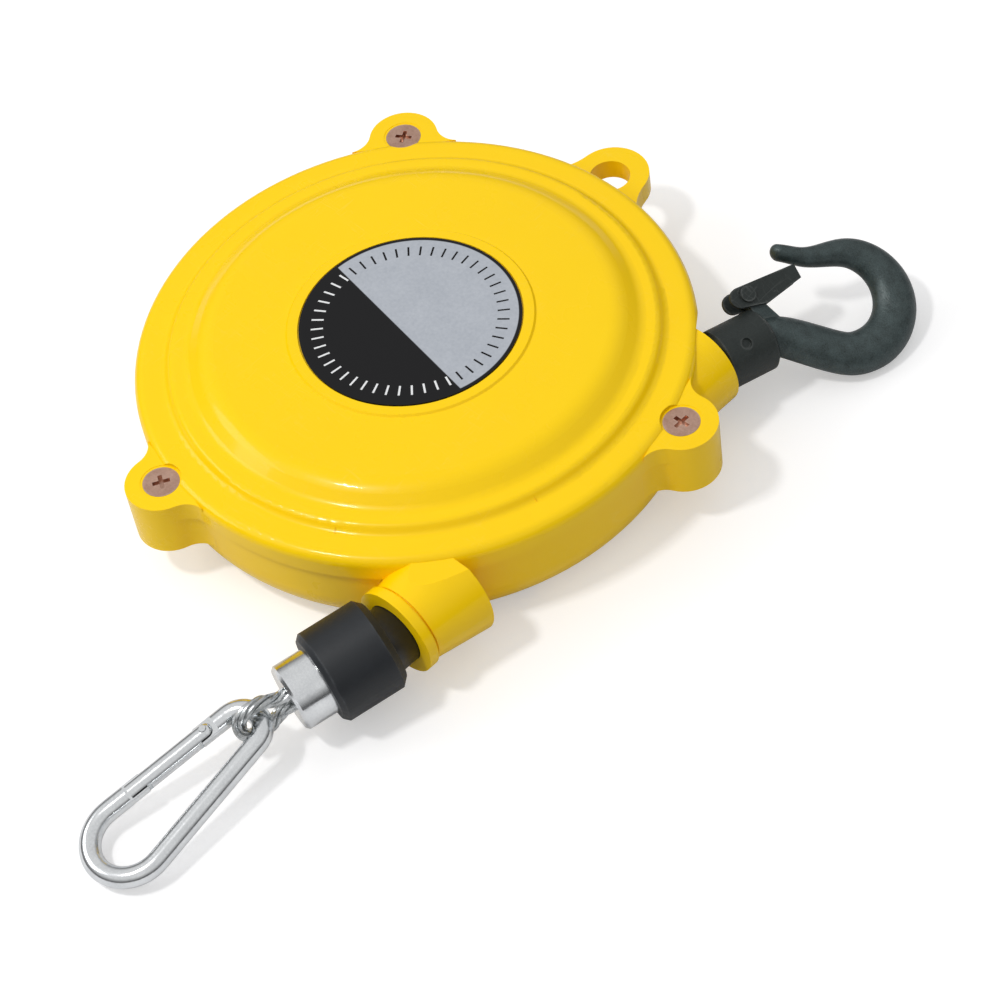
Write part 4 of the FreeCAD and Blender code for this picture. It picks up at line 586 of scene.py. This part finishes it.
# routes in mm, flat in each piece's own frame
eyeRoute = [(2.1, -21.3), (2.1, -23.4), (2.1, -26.6), (4.3, -29.0), (4.3, -32.4), (2.5, -35.0), (-2.5, -35.0),
            (-4.3, -32.4), (-4.3, -29.0), (-2.1, -26.6), (-2.1, -23.4), (-2.1, -21.3)]
leadRoute = [(0.0, 33.1), (0.0, 22.0), (0.0, 11.0), (0.0, -0.3)]
tailRoute = [(0.0, 0.2), (0.0, -7.0), (0.0, -14.0), (0.0, -20.6)]


def ropePiece(name, route, toRow, body):
    # all strands of one rope along a route, as one piece
    way, line = routeLine(name, route, ropeLook["spacing"])
    return meshPiece(name, strandRings(way, line, ropeLook, toRow), ropeSteel, body)


ropeEye = ropePiece("ropeEye", eyeRoute, framed(eyeTurn(), mouth), "wire_end")
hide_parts("rope_eye")
ropeTail = ropePiece("ropeTail", tailRoute, framed(wireTurn, mouth), "wire_end")
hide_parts("wire_tail")
ropeLead = ropePiece("ropeLead", leadRoute, framed(np.eye(3), mouth), None)
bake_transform(ropeLead)
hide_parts("wire_lead")
print("rope strands made")

springWire = {"strands": 1, "strand": 0.34, "helix": 0.0, "lay": 10.0, "around": 12, "wireLay": 5.0,
              "depth": 0.0, "held": (24.67, -15.22), "free": (35.13, -18.0), "height": 1.4}
springRoute = [springWire["held"], (28.1, -16.15), (31.6, -17.1), springWire["free"]]
springWay, springLine = routeLine("pawlSpring", springRoute, 0.4)
pawlSpring = meshPiece(
    "pawlSpring",
    strandRings(springWay, springLine, springWire, framed(np.eye(3), np.array([0, 0, springWire["height"]]))),
    springSteel, None)
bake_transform(pawlSpring)
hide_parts("pawl_spring")
print("pawl spring made")

guideLook = {"bore": 2.0, "flare": 5.0, "outside": 6.5, "depth": 3.4, "length": 12.0, "ribs": 4, "rib": 0.3,
             "inset": 0.8, "steps": 72}


def guideSection(look):
    # bell mouth: radius = bore + (flare - bore) t^1.5, height = depth (1 - t), cut by rings rib (1 - cos)/2
    share = np.linspace(0, 1, 65)
    cut = look["rib"] * (0.5 - 0.5 * np.cos(2 * pi * look["ribs"] * share))
    bell = np.stack([look["bore"] + (look["flare"] - look["bore"]) * share ** 1.5 + cut,
                     look["depth"] * (1 - share) + cut * share], -1)
    body = [(look["outside"] - 0.3, 0), (look["outside"], 0.3), (look["outside"], look["length"]),
            (look["bore"] + 1, look["length"]), (look["bore"], look["length"] - 1)]
    return np.vstack([bell, body])


def openTurned(name, loop, steps, toRow, material, body, sharp=50.0):
    # a full turn of a closed section: the rings run along the section, so nothing is capped
    angles = np.linspace(0, 2 * pi, steps, endpoint=False)
    rings = turnedRings(loop, angles, toRow)
    rows, around = rings.shape[:2]
    here, ahead = np.arange(rows)[:, None] * around, np.roll(np.arange(rows), -1)[:, None] * around
    near = np.arange(around)[None]
    beside = np.roll(np.arange(around), -1)[None]
    quads = np.stack([here + near, ahead + near, ahead + beside, here + beside], -1).reshape(-1, 4)
    return finishPiece(name, rings.reshape(-1, 3), quads.tolist(), material, body, sharp)


# the guide's own axis, its height, runs along +Y from the mouth
alongLine = np.array([(1, 0, 0), (0, 0, 1), (0, -1, 0)]).T
ribbedGuide = openTurned("ribbedGuide", guideSection(guideLook), guideLook["steps"],
                         framed(alongLine, mouth + (0, guideLook["inset"], 0)), blackPlastic, "case")
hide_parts("wire_guide")
print("wire guide made")


def smoothRows(rows, steps):
    # Catmull-Rom: each span runs through its rows with slopes of (next - previous) / 2
    padded = np.vstack([2 * rows[:1] - rows[1:2], rows, 2 * rows[-1:] - rows[-2:-1]])
    before, first, second, after = (padded[index:index + len(rows) - 1, None] for index in range(4))
    share = np.linspace(0, 1, steps, endpoint=False)[None, :, None]
    spans = (first + (second - before) * share / 2
             + (2 * before - 5 * first + 4 * second - after) * share ** 2 / 2
             + (3 * first - before - 3 * second + after) * share ** 3 / 2)
    return np.vstack([spans.reshape(-1, rows.shape[1]), rows[-1:]])


hookLook = {"centre": 38.9, "bowl": 7.2, "back": 8.8, "tip": 3.4, "tipReach": 9.6, "depth": 7.0, "shank": 3.9,
            "start": 18.72, "tipRound": 1.5, "along": 170, "tipSteps": 12, "around": 40, "steps": 10, "soften": 7,
            "pivot": (-9.3, 19.3), "eye": 1.9, "lug": 1.48, "lugLength": 5.5}


def hookRows(look):
    # inner point, outer point and width of the bar, from shank to tip, all in mm
    shank, start, centre, tip = look["shank"], look["start"], look["centre"], look["tip"]
    rows = [(-shank, start, shank, start, 2 * shank),
            (-0.64 * shank, start + 6.2, 1.2 * shank, start + 1.4, 1.95 * shank)]
    for angle in range(234, 450, 24):
        easing = max(0.0, (angle - 340.0) / 100.0)
        thick = look["back"] + 0.8 * np.sin(radians(angle - 210)) - (look["back"] - 1.7 * tip) * easing
        x, y = -np.sin(radians(angle)), np.cos(radians(angle))
        outside = look["bowl"] + thick
        rows.append((x * look["bowl"], centre + y * look["bowl"], x * outside, centre + y * outside,
                     look["depth"] - 1.4 * easing))
    for along, rise in ((3.2, 1.6), (6.8, 4.4), (look["tipReach"], 6.4)):
        x, y = -look["bowl"] - rise - 0.2, centre - along
        thick = tip + 0.12 * (look["tipReach"] - along)
        rows.append((x, y, x - 0.93 * thick, y + 0.36 * thick, look["depth"] - 1.6 - along * 0.12))
    rows = smoothRows(np.array(rows), look["steps"])
    window = np.hanning(2 * look["soften"] + 3)[1:-1]
    held = np.pad(rows, ((look["soften"], look["soften"]), (0, 0)), mode="reflect", reflect_type="odd")
    return np.stack([np.convolve(column, window / window.sum(), "valid") for column in held.T], -1)


def hookRings(look, toRow):
    # each ring is an ellipse; the tip shrinks as sqrt(1 - x^2) over its last tipRound
    rows = hookRows(look)
    inner, outer = rows[:, 0:2], rows[:, 2:4]
    middle = (inner + outer) / 2
    way = np.concatenate([[0], np.cumsum(np.linalg.norm(np.diff(middle, axis=0), axis=1))])
    even = np.concatenate([np.linspace(0, way[-1] - look["tipRound"], look["along"], endpoint=False),
                           way[-1] - look["tipRound"] * (1 - np.sin(np.linspace(0, pi / 2, look["tipSteps"])))])
    sample = lambda values: np.stack([np.interp(even, way, column) for column in values.T], -1)
    middle, half, width = sample(middle), sample((outer - inner) / 2), sample(rows[:, 4:]) / 2
    into = np.clip((even - way[-1] + look["tipRound"]) / look["tipRound"], 0, 0.9999)
    shrink = np.sqrt(1 - into ** 2)[:, None, None]
    angle = np.linspace(0, 2 * pi, look["around"], endpoint=False)[None, :, None]
    flat = np.concatenate([half, np.zeros((len(half), 1))], 1)[:, None]
    up = np.array([0.0, 0.0, 1.0]) * width[:, None]
    centre = np.concatenate([middle, np.zeros((len(middle), 1))], 1)[:, None]
    return toRow(centre + shrink * (np.cos(angle) * flat + np.sin(angle) * up))


def hookLug(look, toRow):
    # the eye for the latch's rivet and its foot on the shank, one outline at two rounded edges
    x, y = look["pivot"]
    eye, start = look["eye"], look["start"] + 0.3
    bow = np.radians(np.linspace(107.5, 360, 24))
    outline = np.vstack([np.stack([x + eye * np.cos(bow), y + eye * np.sin(bow)], -1),
                         [(x + eye, start), (-1.0, start), (-1.0, start + look["lugLength"])]])
    middle = outline.mean(0)
    levels = [(-look["lug"], 0.92), (-look["lug"] + 0.25, 1.0), (look["lug"] - 0.25, 1.0), (look["lug"], 0.92)]
    rings = [np.column_stack([middle + (outline - middle) * size, np.full(len(outline), height)])
             for height, size in levels]
    return toRow(np.array(rings))


hookPlace = framed(hookTurn, ballPlace)
forgedHook = meshPiece("forgedHook", [hookRings(hookLook, hookPlace), hookLug(hookLook, hookPlace)],
                       forgedSteel, "hook")
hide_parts("hook")
print("forged hook made")


def makeFloor(look):
    low = cadBox[0].z - look["gap"]
    reach = look["reach"]
    mesh = bpy.data.meshes.new("floor")
    corners = [(-reach, -reach, low), (reach, -reach, low), (reach, reach, low), (-reach, reach, low)]
    mesh.from_pydata(corners, [], [(0, 1, 2, 3)])
    floor = bpy.data.objects.new("floor", mesh)
    bpy.context.scene.collection.objects.link(floor)
    material, maker, shader, place = newMaterial("floorPaper")
    shader.inputs["Base Color"].default_value = look["colour"]
    shader.inputs["Roughness"].default_value = 0.9
    shader.inputs["Specular IOR Level"].default_value = 0.1
    seen = maker.add("LightPath").outputs["Is Camera Ray"]
    lit = maker.add("Emission", {"Strength": maker.math("MULTIPLY", seen, look["lift"])}).outputs[0]
    both = maker.add("AddShader", {0: shader.outputs[0], 1: lit}).outputs[0]
    maker.put(material.node_tree.nodes["Material Output"].inputs["Surface"], both)
    mesh.materials.append(material)


def makeLight(name, look):
    data = bpy.data.lights.new(name, "AREA")
    data.shape = "RECTANGLE"
    data.size, data.size_y = look["size"]
    data.energy = look["power"]
    data.color = look["colour"]
    lamp = bpy.data.objects.new(name, data)
    bpy.context.scene.collection.objects.link(lamp)
    lamp.location = look["place"]
    aim = Vector(look["aim"]) - Vector(look["place"])
    lamp.rotation_euler = aim.to_track_quat("-Z", "Y").to_euler()


def makeWorld(look):
    world = bpy.data.worlds.new("studio")
    world.use_nodes = True
    maker = NodeMaker(world.node_tree)
    background = world.node_tree.nodes["Background"]
    height = maker.add("SeparateXYZ", {0: maker.add("TexCoord").outputs["Generated"]}).outputs[2]
    rise = maker.remap(height, look["low"], look["high"], look["horizon"], look["zenith"])
    seen = maker.add("LightPath").outputs["Is Camera Ray"]
    maker.put(background.inputs["Strength"], maker.add("Mix", {0: seen, 2: rise, 3: look["seen"]}).outputs[0])
    background.inputs["Color"].default_value = look["colour"]
    bpy.context.scene.world = world


def makeCamera(look):
    data = bpy.data.cameras.new("camera")
    data.lens = look["lens"]
    data.sensor_width = look["sensor"]
    data.clip_start, data.clip_end = 0.01, 20.0
    camera = bpy.data.objects.new("camera", data)
    bpy.context.scene.collection.objects.link(camera)
    turn = Matrix.Rotation(look["azimuth"], 4, "Z")
    turn = turn @ Matrix.Rotation(pi / 2 - look["elevation"], 4, "X")
    turn = turn @ Matrix.Rotation(look["roll"], 4, "Z")
    camera.matrix_world = Matrix.Translation(look["place"]) @ turn
    bpy.context.scene.camera = camera


makeFloor({"gap": 0.0002, "reach": 3.0, "colour": (0.74, 0.74, 0.75, 1.0), "lift": 0.38})
makeWorld({"low": 0.1, "high": 0.6, "horizon": 0.06, "zenith": 0.70, "seen": 1.0,
           "colour": (1.0, 1.0, 1.0, 1.0)})
makeLight("keyLight", {"place": (-0.09, -0.38, 0.82), "aim": (0.0, 0.0, 0.0), "size": (0.11, 0.07),
                       "power": 2.7, "colour": (1.0, 0.99, 0.97)})
makeLight("sideLight", {"place": (-0.55, -0.45, 0.55), "aim": (0.0, 0.0, 0.0), "size": (0.5, 0.3),
                        "power": 1.5, "colour": (0.97, 0.98, 1.0)})
makeCamera({"place": (0.3352, -0.2472, 0.4706), "azimuth": radians(52.0), "elevation": radians(50.395),
            "roll": radians(-9.958), "lens": 108.0, "sensor": 36.0})
bpy.context.scene.view_settings.view_transform = "Standard"
print("stage, lights and camera set")
